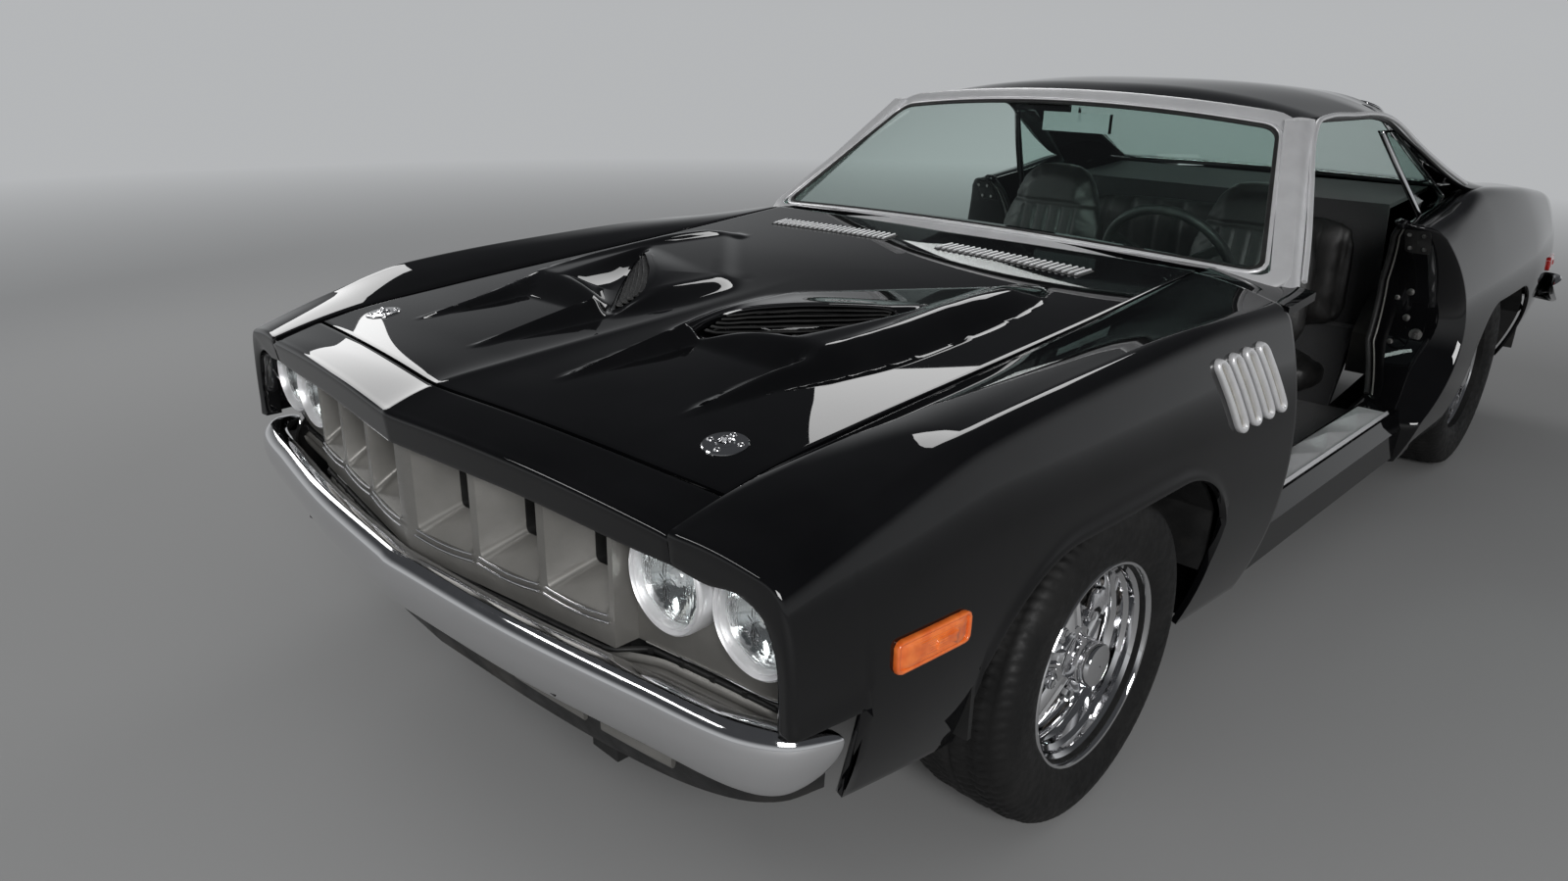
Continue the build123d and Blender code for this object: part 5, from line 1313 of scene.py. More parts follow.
def bumper_piece(name, plan, face, axle, facing, node):
    """A bumper: at each place of its plan the face profile stands across the blade's direction,
    turned about the upright, and near the tip it shrinks to its upper half by sqrt(1 - d^2)."""
    plan = np.array(plan)
    run = run_along(plan[:, :2])
    want = run[-1] * np.sin(np.linspace(0, pi / 2, 70))
    x, s, turn = (smooth_line(run, plan[:, k])(want) for k in range(3))
    turn = np.radians(turn)
    outer = smooth_path(face, 26)
    middle = outer[:, 1].mean()
    inner = outer[::-1] * (1, 0.86) + (0.010, 0.14 * middle)
    loop = np.concatenate([outer, inner])
    end = np.clip((want / run[-1] - TIP_START) / (1 - TIP_START), 0, 1)
    share = np.sqrt(np.maximum(1 - end**2, 0.002))[:, None]
    top = outer[:, 1].max() - 0.030
    z = top + (loop[None, :, 1] - top) * share
    depth = 0.022 + (loop[None, :, 0] - 0.022) * share
    px = x[:, None] - depth * np.sin(turn)[:, None]
    py = axle + s[:, None] + facing * depth * np.cos(turn)[:, None]
    grid = stack(px, py, z)
    grid = np.concatenate([grid, gathered(grid[-1:])])
    piece(name, both_sides([(grid, False, True)]), "chrome", stands_for=(node,))


bumper_piece("front_blade", FRONT_PLAN, FRONT_FACE, FRONT_AXLE, 1, "front_bumper")
bumper_piece("rear_blade", REAR_PLAN, REAR_FACE, REAR_AXLE, -1, "rear_bumper")

# Valances: a sheet under each bumper that runs round to the fenders or quarters. The tables give x,
# s and the heights of the upper and the lower edge
FRONT_APRON = np.array(
    [
        (0, -0.868, 0.440, 0.330),
        (0.34, -0.850, 0.440, 0.332),
        (0.62, -0.822, 0.448, 0.340),
        (0.76, -0.792, 0.470, 0.352),
        (0.835, -0.750, 0.520, 0.366),
        (0.862, -0.698, 0.560, 0.377),
    ]
)
REAR_APRON = np.array(
    [
        (0, 1.000, 0.500, 0.345),
        (0.50, 0.998, 0.500, 0.348),
        (0.72, 0.990, 0.490, 0.360),
        (0.81, 0.968, 0.470, 0.385),
        (0.838, 0.935, 0.455, 0.410),
        (0.842, 0.915, 0.450, 0.420),
    ]
)
# Pale bars along the front valance's lamp openings: their paleness is a painted highlight for the openings'
# glinting edges.
APRON_GLINT_BARS = ((0.06, 0.25), (0.29, 0.47), (0.51, 0.66))
GLINT_BAR_HEIGHT = 0.402


def apron_lines(table, count):
    """A valance's plan and its upper and lower edges along it."""
    run = run_along(table[:, :2])
    want = np.linspace(0, run[-1], count)
    return [smooth_line(run, column)(want) for column in table.T]


def valance_pieces():
    """Both valances, each tucked in by 26 mm t^2 towards its lower edge, and the front one's pale
    bars, a painted highlight for the glinting edges of its lamp openings."""
    t = np.linspace(0, 1, 16)[:, None]
    sheets = []
    for table, axle, inwards in ((FRONT_APRON, FRONT_AXLE, 1), (REAR_APRON, REAR_AXLE, -1)):
        x, along, high, low = apron_lines(table, 70)
        y = axle + along[None] + inwards * 0.026 * t**2
        z = blend_points(high[None], low[None], t)
        sheets.append(stack(x[None] * (1 - 0.03 * t**2), y, z))
    behind = (0, 0, 0.42)
    skin("valance_sheets", both_sides(sheets), behind, "chassis", 0.004, stands_for=("valances",))
    x, along, _, _ = apron_lines(FRONT_APRON, 200)
    # Painted highlight: pale argent bars for the glinting edges of the lamp openings.
    bars = []
    for start, end in APRON_GLINT_BARS:
        glint_x = np.linspace(start, end, 26)
        glint_y = FRONT_AXLE + np.interp(glint_x, x, along)
        line = stack(glint_x, glint_y + 0.002, GLINT_BAR_HEIGHT + 0 * glint_x)
        bars.append(carry(line, rounded(0.010, 0.026, 3)))
    piece("valance_painted_glint_bars", both_sides(bars), "argent")


valance_pieces()

# Sill covers: pressed plates with four shallow pyramids and a rib

SILL_X = (0.759, 0.858)
SILL_ENDS = (0.880, 1.900)
SILL_TOP = 0.383
PYRAMIDS = 4
PYRAMID_HALF = (0.036, 0.112)
PYRAMID_X = 0.800
PYRAMID_RISE = 0.014
SILL_RIB = 0.848
HEM = np.array([0.0, 0.0006, 0.002])
HEM_REACH = 0.0035


def hemmed(ends, count):
    """count places between two ends, and a few close to each end for the hem."""
    start, end = ends
    return np.concatenate([start + HEM, np.linspace(start + 0.005, end - 0.005, count), end - HEM[::-1]])


def near_end(place_at, ends):
    """1 at either end, falling to 0 within HEM_REACH."""
    return 1 - ramp(np.minimum(place_at - ends[0], ends[1] - place_at), 0, HEM_REACH)


def sill_pieces():
    """The covers: z = SILL_TOP + PYRAMID_RISE (1 - max(|u|, |v|)) over each pyramid, with u and v its
    shares of PYRAMID_HALF, plus a 6 mm rib by the outer edge, and hems turned down on all sides."""
    x = hemmed(SILL_X, 40)[None]
    s = hemmed(SILL_ENDS, 81)[:, None]
    height = 0.006 * np.exp(-(((x - SILL_RIB) / 0.0035) ** 2)) + 0 * s
    pitch = (SILL_ENDS[1] - SILL_ENDS[0]) / PYRAMIDS
    for k in range(PYRAMIDS):
        middle = SILL_ENDS[0] + (k + 0.5) * pitch
        share_x = np.abs(x - PYRAMID_X) / PYRAMID_HALF[0]
        share_s = np.abs(s - middle) / PYRAMID_HALF[1]
        height = height + PYRAMID_RISE * np.clip(1 - np.maximum(share_x, share_s), 0, 1)
    drop = np.maximum(0.018 * near_end(x, SILL_X), 0.010 * near_end(s, SILL_ENDS))
    grid = stack(x, FRONT_AXLE + s, SILL_TOP + height - drop)
    below = (0, 0, -3.0)
    stands_for = ("sill_plates",)
    skin("sill_covers", both_sides([grid]), below, "satin", 0.0015, 0.0, "body", "polished", stands_for, 18)


sill_pieces()

# Lock pillar fittings: bright discs, a bolted plate, the seal and a strip beside it


def on_jamb(x, z, proud):
    """A point of the left lock pillar's face, standing proud of it."""
    s = lock_line(z)
    edge = side_x(REAR, s, z)
    t = np.clip((edge - x) / (edge - jamb_inside(z)), 0, 1)
    return stack(x, REAR_AXLE + s - jamb_swell(t) - proud, z)


# x, z and radius of each disc
JAMB_DISCS = (
    (0.788, 0.724, 0.011),
    (0.791, 0.641, 0.011),
    (0.829, 0.594, 0.019),
    (0.762, 0.560, 0.009),
    (0.752, 0.700, 0.008),
)
JAMB_BOLT = [(0.001, -0.012), (0.006, -0.012), (0.007, -0.009), (0.007, 0.004), (0.001, 0.004)]
PLATE_MIDDLE = (0.792, 0.890)


def disc_profile(radius):
    """A flat disc with a raised middle."""
    raised = [(0.001, -0.009), (0.4 * radius, -0.009), (0.5 * radius, -0.004)]
    return raised + [(radius, -0.003), (radius, 0.006), (0.001, 0.006)]


def jamb_pieces():
    """Bright discs with raised middles, a plate with four bolts near the top, a seal and a strip."""
    discs = []
    for x, z, radius in JAMB_DISCS:
        discs.append(lathe(disc_profile(radius), on_jamb(x, z, 0.0), "y", 24))
    for x in (0.772, 0.812):
        for z in (0.868, 0.912):
            discs.append(lathe(JAMB_BOLT, on_jamb(x, z, 0.0), "y", 6))
    piece("jamb_bolts", both_sides(discs), "steel")
    ring = frame_outline(0.074, 0.078, 0.012, 48)
    share = np.array([1.0, 0.97, 0.5, 0.02])[:, None]
    proud = np.array([-0.002, 0.004, 0.005, 0.005])[:, None]
    x, z = (middle + share * ring[None, :, k] for k, middle in enumerate(PLATE_MIDDLE))
    plate = (on_jamb(x, z, proud), False, True)
    skin("jamb_plates", both_sides([plate]), (0, REAR_AXLE, 0.9), "black_plastic", 0.004)
    z = np.linspace(0.40, 0.93, 60)
    seal = on_jamb(jamb_inside(z) + 0.006, z, 0.004)
    strip = on_jamb(jamb_inside(z) + 0.024, z, 0.002)
    seal = carry(seal, rounded(0.016, 0.016, 2.4, 14), (0, 1, 0))
    strip = carry(strip, rounded(0.005, 0.004, 3, 10), (0, 1, 0))
    piece("jamb_seals", both_sides([seal]), "black_plastic")
    piece("jamb_strips", both_sides([strip]), "argent")


jamb_pieces()

# Seats: padded forms filled out by a cloth simulation and sewn afterwards

SEAT_X = 0.370
PAD_VOXEL = 0.013
PAD_FRAMES = 20
PAD_PRESSURE = 4.0
PAD_CAP = 0.024


def pad_form(name, spine, wide, deep, middle=0.0, bolster=0.0, power=3.0):
    """A closed pad round a spine of y and z: rings of |u|^p + |v|^p = 1 whose half width and half
    depth follow wide and deep and round off at both ends by (1 - |2t - 1|^8)^(1/3)."""
    t = (0.5 - 0.5 * np.cos(np.linspace(0, pi, 44)))[:, None]

    def along(values):
        return np.interp(t[:, 0], np.linspace(0, 1, len(values)), values)[:, None]

    y, z = map(along, smooth_path(spine, 400).T)
    ahead = unit(np.concatenate([np.gradient(y, axis=0), np.gradient(z, axis=0)], 1))
    end = np.maximum(1 - np.abs(2 * t - 1) ** 8, 0) ** (1 / 3)
    half_wide, half_deep = along(wide) * end, along(deep) * end
    u, v = superellipse(full_turn(60)[None], power)
    off = half_deep * (v + bolster * u**4 * (v > 0))
    grid = stack(middle + half_wide * u, y - ahead[:, 1:] * off, z + ahead[:, :1] * off)
    return shape_mesh(name, [(grid, False, True)], merge=1e-4)


def points_of(mesh, what="co"):
    """A mesh's points or normals as rows."""
    rows = np.empty(3 * len(mesh.vertices))
    mesh.vertices.foreach_get(what, rows)
    return rows.reshape(-1, 3)


def filled_out(name, mesh, voxel=PAD_VOXEL):
    """The pad in even faces, swollen by cloth under pressure with each point's way capped at
    PAD_CAP, and subdivided once."""
    holder = new_object(name + "_pad", mesh)
    even_faces = holder.modifiers.new("even", "REMESH")
    even_faces.mode = "VOXEL"
    even_faces.voxel_size = voxel
    start = with_modifiers(holder)
    holder.modifiers.clear()
    holder.data = start
    before = points_of(start)
    cloth = holder.modifiers.new("swell", "CLOTH")
    cloth.settings.use_pressure = True
    cloth.settings.uniform_pressure_force = PAD_PRESSURE
    cloth.settings.effector_weights.gravity = 0
    for step in range(1, PAD_FRAMES + 1):
        bpy.context.scene.frame_set(step)
    after = points_of(with_modifiers(holder))
    holder.modifiers.clear()
    bpy.context.scene.frame_set(1)
    way = after - before
    length = np.maximum(np.linalg.norm(way, axis=1, keepdims=True), 1e-9)
    after = before + way * np.minimum(1, PAD_CAP / length)
    start.vertices.foreach_set("co", after.ravel())
    start.update()
    smooth = holder.modifiers.new("finer", "SUBSURF")
    smooth.levels = 1
    smooth.render_levels = 1
    done = with_modifiers(holder)
    bpy.data.objects.remove(holder)
    return done


def sew(mesh, into, lines, depth, width, axis=0, reach=None):
    """Press channels into the side of a pad that faces against into: each point moves by
    depth exp(-((c - line) / width)^2), c being its place along axis, within reach along the pad."""
    points, normals = points_of(mesh), points_of(mesh, "normal")
    facing = np.clip(-normals @ np.array(into), 0, 1) ** 0.5
    groove = sum(np.exp(-(((points[:, axis] - line) / width) ** 2)) for line in lines)
    if reach:
        along, low, high = reach
        at = points[:, along]
        facing = facing * ramp(at, low, low + 0.02) * (1 - ramp(at, high - 0.02, high))
    pressed = points + (depth * groove * facing)[:, None] * np.array(into)
    mesh.vertices.foreach_set("co", pressed.ravel())
    mesh.update()


def finish_pad(name, mesh, stands_for=()):
    hide = FINISHES["leather"]
    pad = place(name, mesh, hide, "body", "leather", stands_for=stands_for, sharp=60)


def copied(mesh, shift):
    """A copy of a mesh moved sideways."""
    twin = mesh.copy()
    twin.transform(Matrix.Translation((shift, 0, 0)))
    return twin


def seat_line(*points):
    """A spine from (place behind the front axle, z) rows."""
    return [(FRONT_AXLE + behind, z) for behind, z in points]


BACKWARDS, DOWNWARDS = (0, 1, 0), (0, 0, -1)
ACROSS, LENGTHWISE, UPRIGHT = 0, 1, 2
SEAT_SEAMS = [SEAT_X + k * 0.052 for k in range(-2, 3)]
SEAT_BACK = seat_line((1.820, 0.470), (1.838, 0.640), (1.872, 0.850), (1.906, 1.062))
SEAT_BACK_WIDE = (0.185, 0.222, 0.228, 0.222, 0.180, 0.130)
SEAT_BACK_DEEP = (0.052, 0.050, 0.042, 0.036, 0.034)
CUSHION = seat_line((1.335, 0.482), (1.500, 0.496), (1.660, 0.468), (1.785, 0.452))
CUSHION_WIDE = (0.205, 0.222, 0.226, 0.215)
CUSHION_DEEP = (0.058, 0.060, 0.054, 0.048)
SEAM_DEEP = 0.007
SEAM_WIDE = 0.006


def bucket_seats():
    """Two high-backed bucket seats, the second a copy of the first, and their bases."""
    back = pad_form("back", SEAT_BACK, SEAT_BACK_WIDE, SEAT_BACK_DEEP, SEAT_X, 0.5)
    back = filled_out("back", back)
    sew(back, BACKWARDS, SEAT_SEAMS, SEAM_DEEP, SEAM_WIDE, ACROSS, (UPRIGHT, 0.56, 0.90))
    sew(back, BACKWARDS, [0.905], 0.008, 0.008, UPRIGHT)
    cushion = pad_form("cushion", CUSHION, CUSHION_WIDE, CUSHION_DEEP, SEAT_X, 0.35)
    cushion = filled_out("cushion", cushion)
    reach = (LENGTHWISE, FRONT_AXLE + 1.42, FRONT_AXLE + 1.76)
    sew(cushion, DOWNWARDS, SEAT_SEAMS, SEAM_DEEP, SEAM_WIDE, ACROSS, reach)
    sew(cushion, DOWNWARDS, [FRONT_AXLE + 1.415], 0.007, 0.008, LENGTHWISE)
    for side, shift in (("left", 0.0), ("right", -2 * SEAT_X)):
        stands_for = ("front_seats",) if side == "left" else ()
        finish_pad(f"seat_back_{side}", copied(back, shift), stands_for)
        finish_pad(f"seat_cushion_{side}", copied(cushion, shift))
    t = np.linspace(0, 1, 8)[:, None]
    ring = frame_outline(0.36, 0.42, 0.05, 60)
    u, v = ring[None, :, 0], ring[None, :, 1]
    base = stack(SEAT_X + (1 + 0.1 * t) * u, FRONT_AXLE + 1.58 + v + 0 * t, 0.248 + 0.190 * t + 0 * u)
    piece("seat_bases", both_sides([(closed_ends(base), False, True)]), "black_plastic")


BENCH_VOXEL = 0.017
BENCH_MIDDLES = (0.10, 0.20, 0.30, 0.40, 0.50)
BENCH_CUSHION = [(0.625, 0.372), (0.740, 0.374), (0.880, 0.352)]
BENCH_CUSHION_WIDE = (0.545, 0.552, 0.552)
BENCH_CUSHION_DEEP = (0.066, 0.070, 0.062)
BENCH_BACK = [(0.966, 0.470), (0.945, 0.700), (0.922, 0.925)]
BENCH_BACK_WIDE = (0.545, 0.550, 0.545)
BENCH_BACK_DEEP = (0.040, 0.034, 0.026)


def rear_bench():
    """The bench behind: a cushion and a back with paired channels."""
    middles = [side * middle for side in (-1, 1) for middle in BENCH_MIDDLES]
    pairs = [middle + half for middle in middles for half in (-0.007, 0.007)]
    cushion = pad_form("bench", BENCH_CUSHION, BENCH_CUSHION_WIDE, BENCH_CUSHION_DEEP, power=4.0)
    cushion = filled_out("bench", cushion, BENCH_VOXEL)
    sew(cushion, DOWNWARDS, pairs, SEAM_DEEP, SEAM_WIDE, ACROSS, (LENGTHWISE, 0.66, 0.90))
    finish_pad("bench_cushion", cushion, ("rear_seat",))
    back = pad_form("bench_back", BENCH_BACK, BENCH_BACK_WIDE, BENCH_BACK_DEEP, power=4.0)
    back = filled_out("bench_back", back, BENCH_VOXEL)
    sew(back, BACKWARDS, pairs, SEAM_DEEP, SEAM_WIDE, ACROSS, (UPRIGHT, 0.52, 0.90))
    finish_pad("bench_back", back)


bucket_seats()
rear_bench()

# Headlamps, two each side: bright rings, a fluted lens over a bowl

Lamp = namedtuple("Lamp", "x z face")
LAMPS = [
    Lamp(0.612, 0.672, FRONT_AXLE - 0.775),
    Lamp(0.778, 0.664, FRONT_AXLE - 0.755),
]
LENS_RADIUS = 0.0700
LAMP_RINGS = [
    (0.0800, 0.040), (0.0840, 0.030), (0.0845, -0.004), (0.0832, -0.011), (0.0800, -0.014),
    (0.0778, -0.010), (0.0768, -0.004), (0.0752, -0.004), (0.0742, -0.009), (0.0722, -0.011),
    (0.0702, -0.007), (0.0695, 0.004), (0.0695, 0.040),
]
BULB_CAP = [(0.001, 0.012), (0.014, 0.012), (0.017, 0.016), (0.017, 0.022), (0.001, 0.024)]
FLUTE_PITCH = 0.0062
FLUTE_RISE = 0.0007


def lamp_pieces():
    """Rings, bowls, bulb caps and lenses, y = 2 mm - 13 mm (1 - (r / R)^2) with upright flutes."""
    rings, bowls, lenses, bulbs = [], [], [], []
    turn = full_turn(64)[None]
    radius = LENS_RADIUS * np.sqrt(np.linspace(0.0004, 1, 28))[:, None]
    u, v = radius * np.cos(turn), radius * np.sin(turn)
    for lamp_x, lamp_z, face in LAMPS:
        seat = (lamp_x, face, lamp_z)
        rings.append(lathe(LAMP_RINGS, seat, "y", 64))
        bowl = [(0.0685 * t, 0.006 + 0.044 * (1 - t**2)) for t in np.linspace(0.02, 1, 16)]
        bowls.append(lathe(bowl, seat, "y", 48))
        ripple = FLUTE_RISE * np.cos(2 * pi * u / FLUTE_PITCH) * (radius < 0.065)
        dome = -0.013 * (1 - (radius / LENS_RADIUS) ** 2) + 0.002
        lenses.append((stack(u, dome + ripple, v) + seat, False, True))
        bulbs.append(lathe(BULB_CAP, seat, "y", 24))
    caps = both_sides(rings + bulbs)
    piece("lamp_rings", caps, "satin", slot="chrome", stands_for=("headlamps",))
    behind = (0, FRONT_AXLE, 0.6)
    skin("lamp_bowls", both_sides(bowls), behind, "mirror", 0.001, slot="chrome")
    skin("lamp_lenses", both_sides(lenses), behind, "lamp_glass", 0.0025)


lamp_pieces()

# Grille: tiles round the slots and lamps, bright lines, a seal with clips and the grey filler

SLOTS = [(0.031, 0.186), (0.204, 0.353), (0.371, 0.511)]
SLOT_LOW = 0.585
SLOT_HIGH = 0.742
TILE_EDGES = (0.0, 0.195, 0.362, 0.521, 0.695, 0.866)
GRILLE_LOW = 0.532
GRILLE_HIGH = 0.768
GRILLE_SWEEP = 0.135
GRILLE_FACE = NOSE + 0.022
LAMP_PLATE = FRONT_AXLE - 0.8287
LAMP_PLATE_SWEEP = 0.1205
LAMP_HOLE = 0.164
SLOT_BACK = 0.060
SLOT_BOX_BACK = 0.115
TILE_CORNER = 0.052
# The bright line from the fender's inner edge round the grille's outer corner, as (x, z)
OUTER_LINE = [
    (0.806, 0.738), (0.838, 0.722), (0.860, 0.680), (0.866, 0.620), (0.862, 0.575),
    (0.840, 0.543), (0.800, 0.534), (0.700, 0.533), (0.540, 0.533),
]
SEAL_HEIGHT = 0.526
CLIP_PITCH = 0.062


def slot_face(x):
    """y of the grille's front where the slots are."""
    return GRILLE_FACE + GRILLE_SWEEP * np.abs(x)


def lamp_face(x):
    """y of the plate that carries the lamps, set back from the slots."""
    return LAMP_PLATE + LAMP_PLATE_SWEEP * np.abs(x)


def on_grille(face, line, deep):
    """Points of a line of x and z behind one of the grille's faces."""
    return stack(line[:, 0], face(line[:, 0]) + deep, line[:, 1])


def tile_edge(hole, left, right):
    """A hole's points pushed out from its middle onto the tile's edges, the nearest ones to the
    corners."""
    middle = (hole.max(0) + hole.min(0)) / 2
    out = hole - middle
    reach_x = np.where(out[:, 0] > 0, right - middle[0], middle[0] - left)
    reach_z = np.where(out[:, 1] > 0, GRILLE_HIGH - middle[1], middle[1] - GRILLE_LOW)
    scale_x = reach_x / np.maximum(np.abs(out[:, 0]), 1e-9)
    scale_z = reach_z / np.maximum(np.abs(out[:, 1]), 1e-9)
    edge = middle + out * np.minimum(scale_x, scale_z)[:, None]
    for corner in [(x, z) for x in (left, right) for z in (GRILLE_LOW, GRILLE_HIGH)]:
        edge[np.argmin(np.linalg.norm(edge - corner, axis=1))] = corner
    return edge


def grille_tiles():
    """Tiles with a hole each. A slot's walls narrow to the back, most on the inner side and the
    floor, and end in a dark box. A lamp's hole is a plain round one. A step joins the two faces."""
    tiles, boxes = [], []
    for (start, end), left, right in zip(SLOTS, TILE_EDGES, TILE_EDGES[1:]):
        wide, high = end - start, SLOT_HIGH - SLOT_LOW
        middle = ((start + end) / 2, (SLOT_LOW + SLOT_HIGH) / 2)
        hole = frame_outline(wide, high, 0.012, 96) + middle
        bevel = hole + (middle - hole) * 0.03
        back = frame_outline(wide - 0.050, high - 0.048, 0.010, 96) + middle + (0.018, 0.018)
        rows = ((tile_edge(hole, left, right), 0.0), (hole, 0.0), (bevel, 0.004), (back, SLOT_BACK))
        rings = [on_grille(slot_face, row, deep) for row, deep in rows]
        tiles.append((np.stack(rings), False, True))
        far = on_grille(slot_face, back, SLOT_BOX_BACK)
        boxes.append((np.stack([rings[-1], far, gathered(far)]), False, True))
    for (x, z, _), left, right in zip(LAMPS, TILE_EDGES[3:], TILE_EDGES[4:]):
        hole = rounded(LAMP_HOLE, LAMP_HOLE, 2, 96) + (x, z)
        edge = tile_edge(hole, left, right)
        if right == TILE_EDGES[-1]:
            centre = np.array((right - TILE_CORNER, GRILLE_LOW + TILE_CORNER))
            past = (edge[:, 0] > centre[0]) & (edge[:, 1] < centre[1])
            edge[past] = centre + TILE_CORNER * unit(edge[past] - centre)
        rings = [on_grille(lamp_face, row, deep) for row, deep in ((edge, 0.0), (hole, 0.0), (hole, 0.03))]
        tiles.append((np.stack(rings), False, True))
    x = TILE_EDGES[3]
    step_y = np.array([[slot_face(x)] * 2, [lamp_face(x)] * 2])
    tiles.append(stack(x, step_y, np.array([[GRILLE_LOW, GRILLE_HIGH]] * 2)))
    inside = (0, NOSE + 0.5, 0.6)
    skin("grille_tiles", both_sides(tiles), inside, "argent", 0.002, stands_for=("grille",))
    skin("grille_slot_boxes", both_sides(boxes), inside, "black_plastic", 0.002)


def slot_lines():
    """Two bowed lines under each slot, 6 mm lower in their middle."""
    lines = []
    t = np.linspace(0, 1, 24)
    for start, end in SLOTS:
        for step, drop in enumerate((0.0, 0.011)):
            x = blend_points(start - 0.004 * step, end + 0.004 * step, t)
            z = SLOT_LOW + 0.002 - drop - 0.006 * np.sin(pi * t)
            line = stack(x, slot_face(x) - 0.003 - 0.002 * step, z)
            lines.append(carry(line, rounded(0.004, 0.0045, 2, 10)))
    return lines


def outer_line():
    """The line along the fender's inner edge and round the grille's outer corner."""
    line = smooth_path(OUTER_LINE, 90)
    x, z = line.T
    share = ramp(np.linspace(0, 1, 90), 0.05, 0.45)
    y = blend_points(NOSE + NOSE_SWEEP * x + 0.016, lamp_face(x) - 0.002, share)
    return carry(stack(x, y, z), rounded(0.004, 0.004, 2, 8), (0, 1, 0.2))


def seal_patches():
    """The seal under the grille and its clips."""
    x = np.linspace(0.004, 0.846, 60)
    front = blend_points(slot_face(x), lamp_face(x), ramp(x, 0.50, 0.56))
    seal_z = SEAL_HEIGHT - 0.004 * ramp(x, 0.60, 0.84)
    patches = [carry(stack(x, front - 0.003, seal_z), rounded(0.009, 0.008, 2.6, 12))]
    for middle in np.arange(0.06, 0.82, CLIP_PITCH):
        clip_x = np.linspace(middle - 0.004, middle + 0.004, 3)
        clip_y = np.interp(clip_x, x, front) - 0.007
        line = stack(clip_x, clip_y, SEAL_HEIGHT + 0 * clip_x)
        patches.append(carry(line, rounded(0.003, 0.011, 4, 8)))
    return patches


def filler_patch():
    """The filler between the seal and the bumper, with two shallow bows across it."""
    x = np.linspace(0.0, 0.812, 70)
    rows = np.linspace(0, 1, 12)[:, None]
    end = np.sqrt(np.maximum(1 - np.clip((x - 0.790) / 0.022, 0, 1) ** 2, 0.0004))[None]
    front = blend_points(slot_face(x), lamp_face(x), ramp(x, 0.45, 0.60))[None]
    bow = 0.005 * np.abs(np.sin(2 * pi * rows))
    return stack(x[None], front - 0.006 - 0.008 * rows - bow, 0.506 + (0.015 - 0.032 * rows) * end)


def grille_trims():
    """Bright lines, the seal with its clips and the grey filler."""
    piece("grille_bright_lines", both_sides([*slot_lines(), outer_line()]), "chrome")
    piece("grille_seal", both_sides(seal_patches()), "black_plastic")
    skin("grille_filler", both_sides([filler_patch()]), (0, NOSE + 0.6, 0.6), "argent", 0.003)


grille_tiles()
grille_trims()

# Gills, markers, hood pins and vents

GILL_CENTRES = 0.385 + 0.0655 * np.arange(4)
GILL_MIDDLE = 0.780
GILL_LEAN = 0.60
GILL_PROUD = 0.0028
FENDER_SIDE = (FRONT, FRONT_AXLE)
QUARTER_SIDE = (REAR, REAR_AXLE)


def on_side(side, s, z, proud):
    """A point on a left side panel, given by its lines and axle, standing proud of it."""
    lines, axle = side
    return stack(side_x(lines, s, z) + proud, axle + s, z)


def gill_pieces():
    """Four leaning round-ended frames with a pale pan in each, bent in along its middle."""
    ring = frame_outline(0.036, 0.152, 0.0175, 72)
    share = np.linspace(0, 1, 8)[:, None]
    frames, pans = [], []

    def in_gill(centre, u, v, proud):
        return on_side(FENDER_SIDE, centre + u - GILL_LEAN * v, GILL_MIDDLE + v, proud)

    for centre in GILL_CENTRES:
        path = in_gill(centre, ring[:, 0], ring[:, 1], GILL_PROUD)
        frames.append(carry(path, rounded(0.0115, 0.018, 2.6), (1, 0, 0), True))
        u, v = ring[None, :, 0] * (1 - share), ring[None, :, 1] * (1 - 0.9 * share)
        dent = 0.0035 * np.sin(pi * share) * (1 - 1.4 * ramp(u, -0.004, 0.010))
        pans.append((in_gill(centre, u, v, GILL_PROUD + dent), False, True))
    piece("gill_rims", both_sides(frames), "satin", slot="chrome", stands_for=("gill_frames",))
    # The pans' pale warm tint is partly a painted reflection on silver satin.
    skin("gill_pans", both_sides(pans), (0, FRONT_AXLE + 0.5, 0.76), "pan", 0.002, slot="argent")


MARKER_WIDE = 0.150
MARKER_HIGH = 0.046
# Colour, side panel, s and z of each marker
MARKERS = (
    ("front", "amber", FENDER_SIDE, -0.554, 0.616),
    ("rear", "red", QUARTER_SIDE, 0.830, 0.663),
)


def marker_patches(side, s, z):
    """A marker on a side panel: a rim with round corners and a crowned lens with a raised pad and
    flutes, proud by 3 mm + 8 mm (1 - |2u / w|^6)(1 - |2v / h|^6)."""
    ring = frame_outline(MARKER_WIDE, MARKER_HIGH, 0.008, 60)
    line = on_side(side, s + ring[:, 0], z + ring[:, 1], 0.003)
    rim = carry(line, rounded(0.007, 0.012, 3), (1, 0, 0), True)
    share = np.linspace(0, 1, 16)[:, None]
    u, v = ring[None, :, 0] * (1 - share), ring[None, :, 1] * (1 - share)
    crown = 0.008 * (1 - np.abs(2 * u / MARKER_WIDE) ** 6) * (1 - np.abs(2 * v / MARKER_HIGH) ** 6)
    flutes = 0.0005 * np.cos(2 * pi * v / 0.004) * (share > 0.12)
    pad = 0.003 * (np.abs(u - 0.02) < 0.022) * (np.abs(v) < 0.009)
    lens = (on_side(side, s + u, z + v, 0.003 + crown + flutes + pad), False, True)
    return rim, lens


def marker_pieces():
    """Amber markers at the front and red ones at the rear."""
    lenses = []
    for end, colour, side, s, z in MARKERS:
        rim, lens = marker_patches(side, s, z)
        stands_for = ("side_markers",) if end == "front" else ()
        piece(f"marker_rims_{end}", both_sides([rim]), colour, stands_for=stands_for)
        lenses.append((colour, lens))
    for colour, lens in lenses:
        skin(f"marker_lenses_{colour}", both_sides([lens]), (0, 0, 0.6), colour, 0.003)


def on_hood(x, s, proud):
    """A point over the left half of the hood."""
    return stack(x, FRONT_AXLE + s, hood_height(x, s) + proud)


HOOD_PIN = (0.568, -0.626)
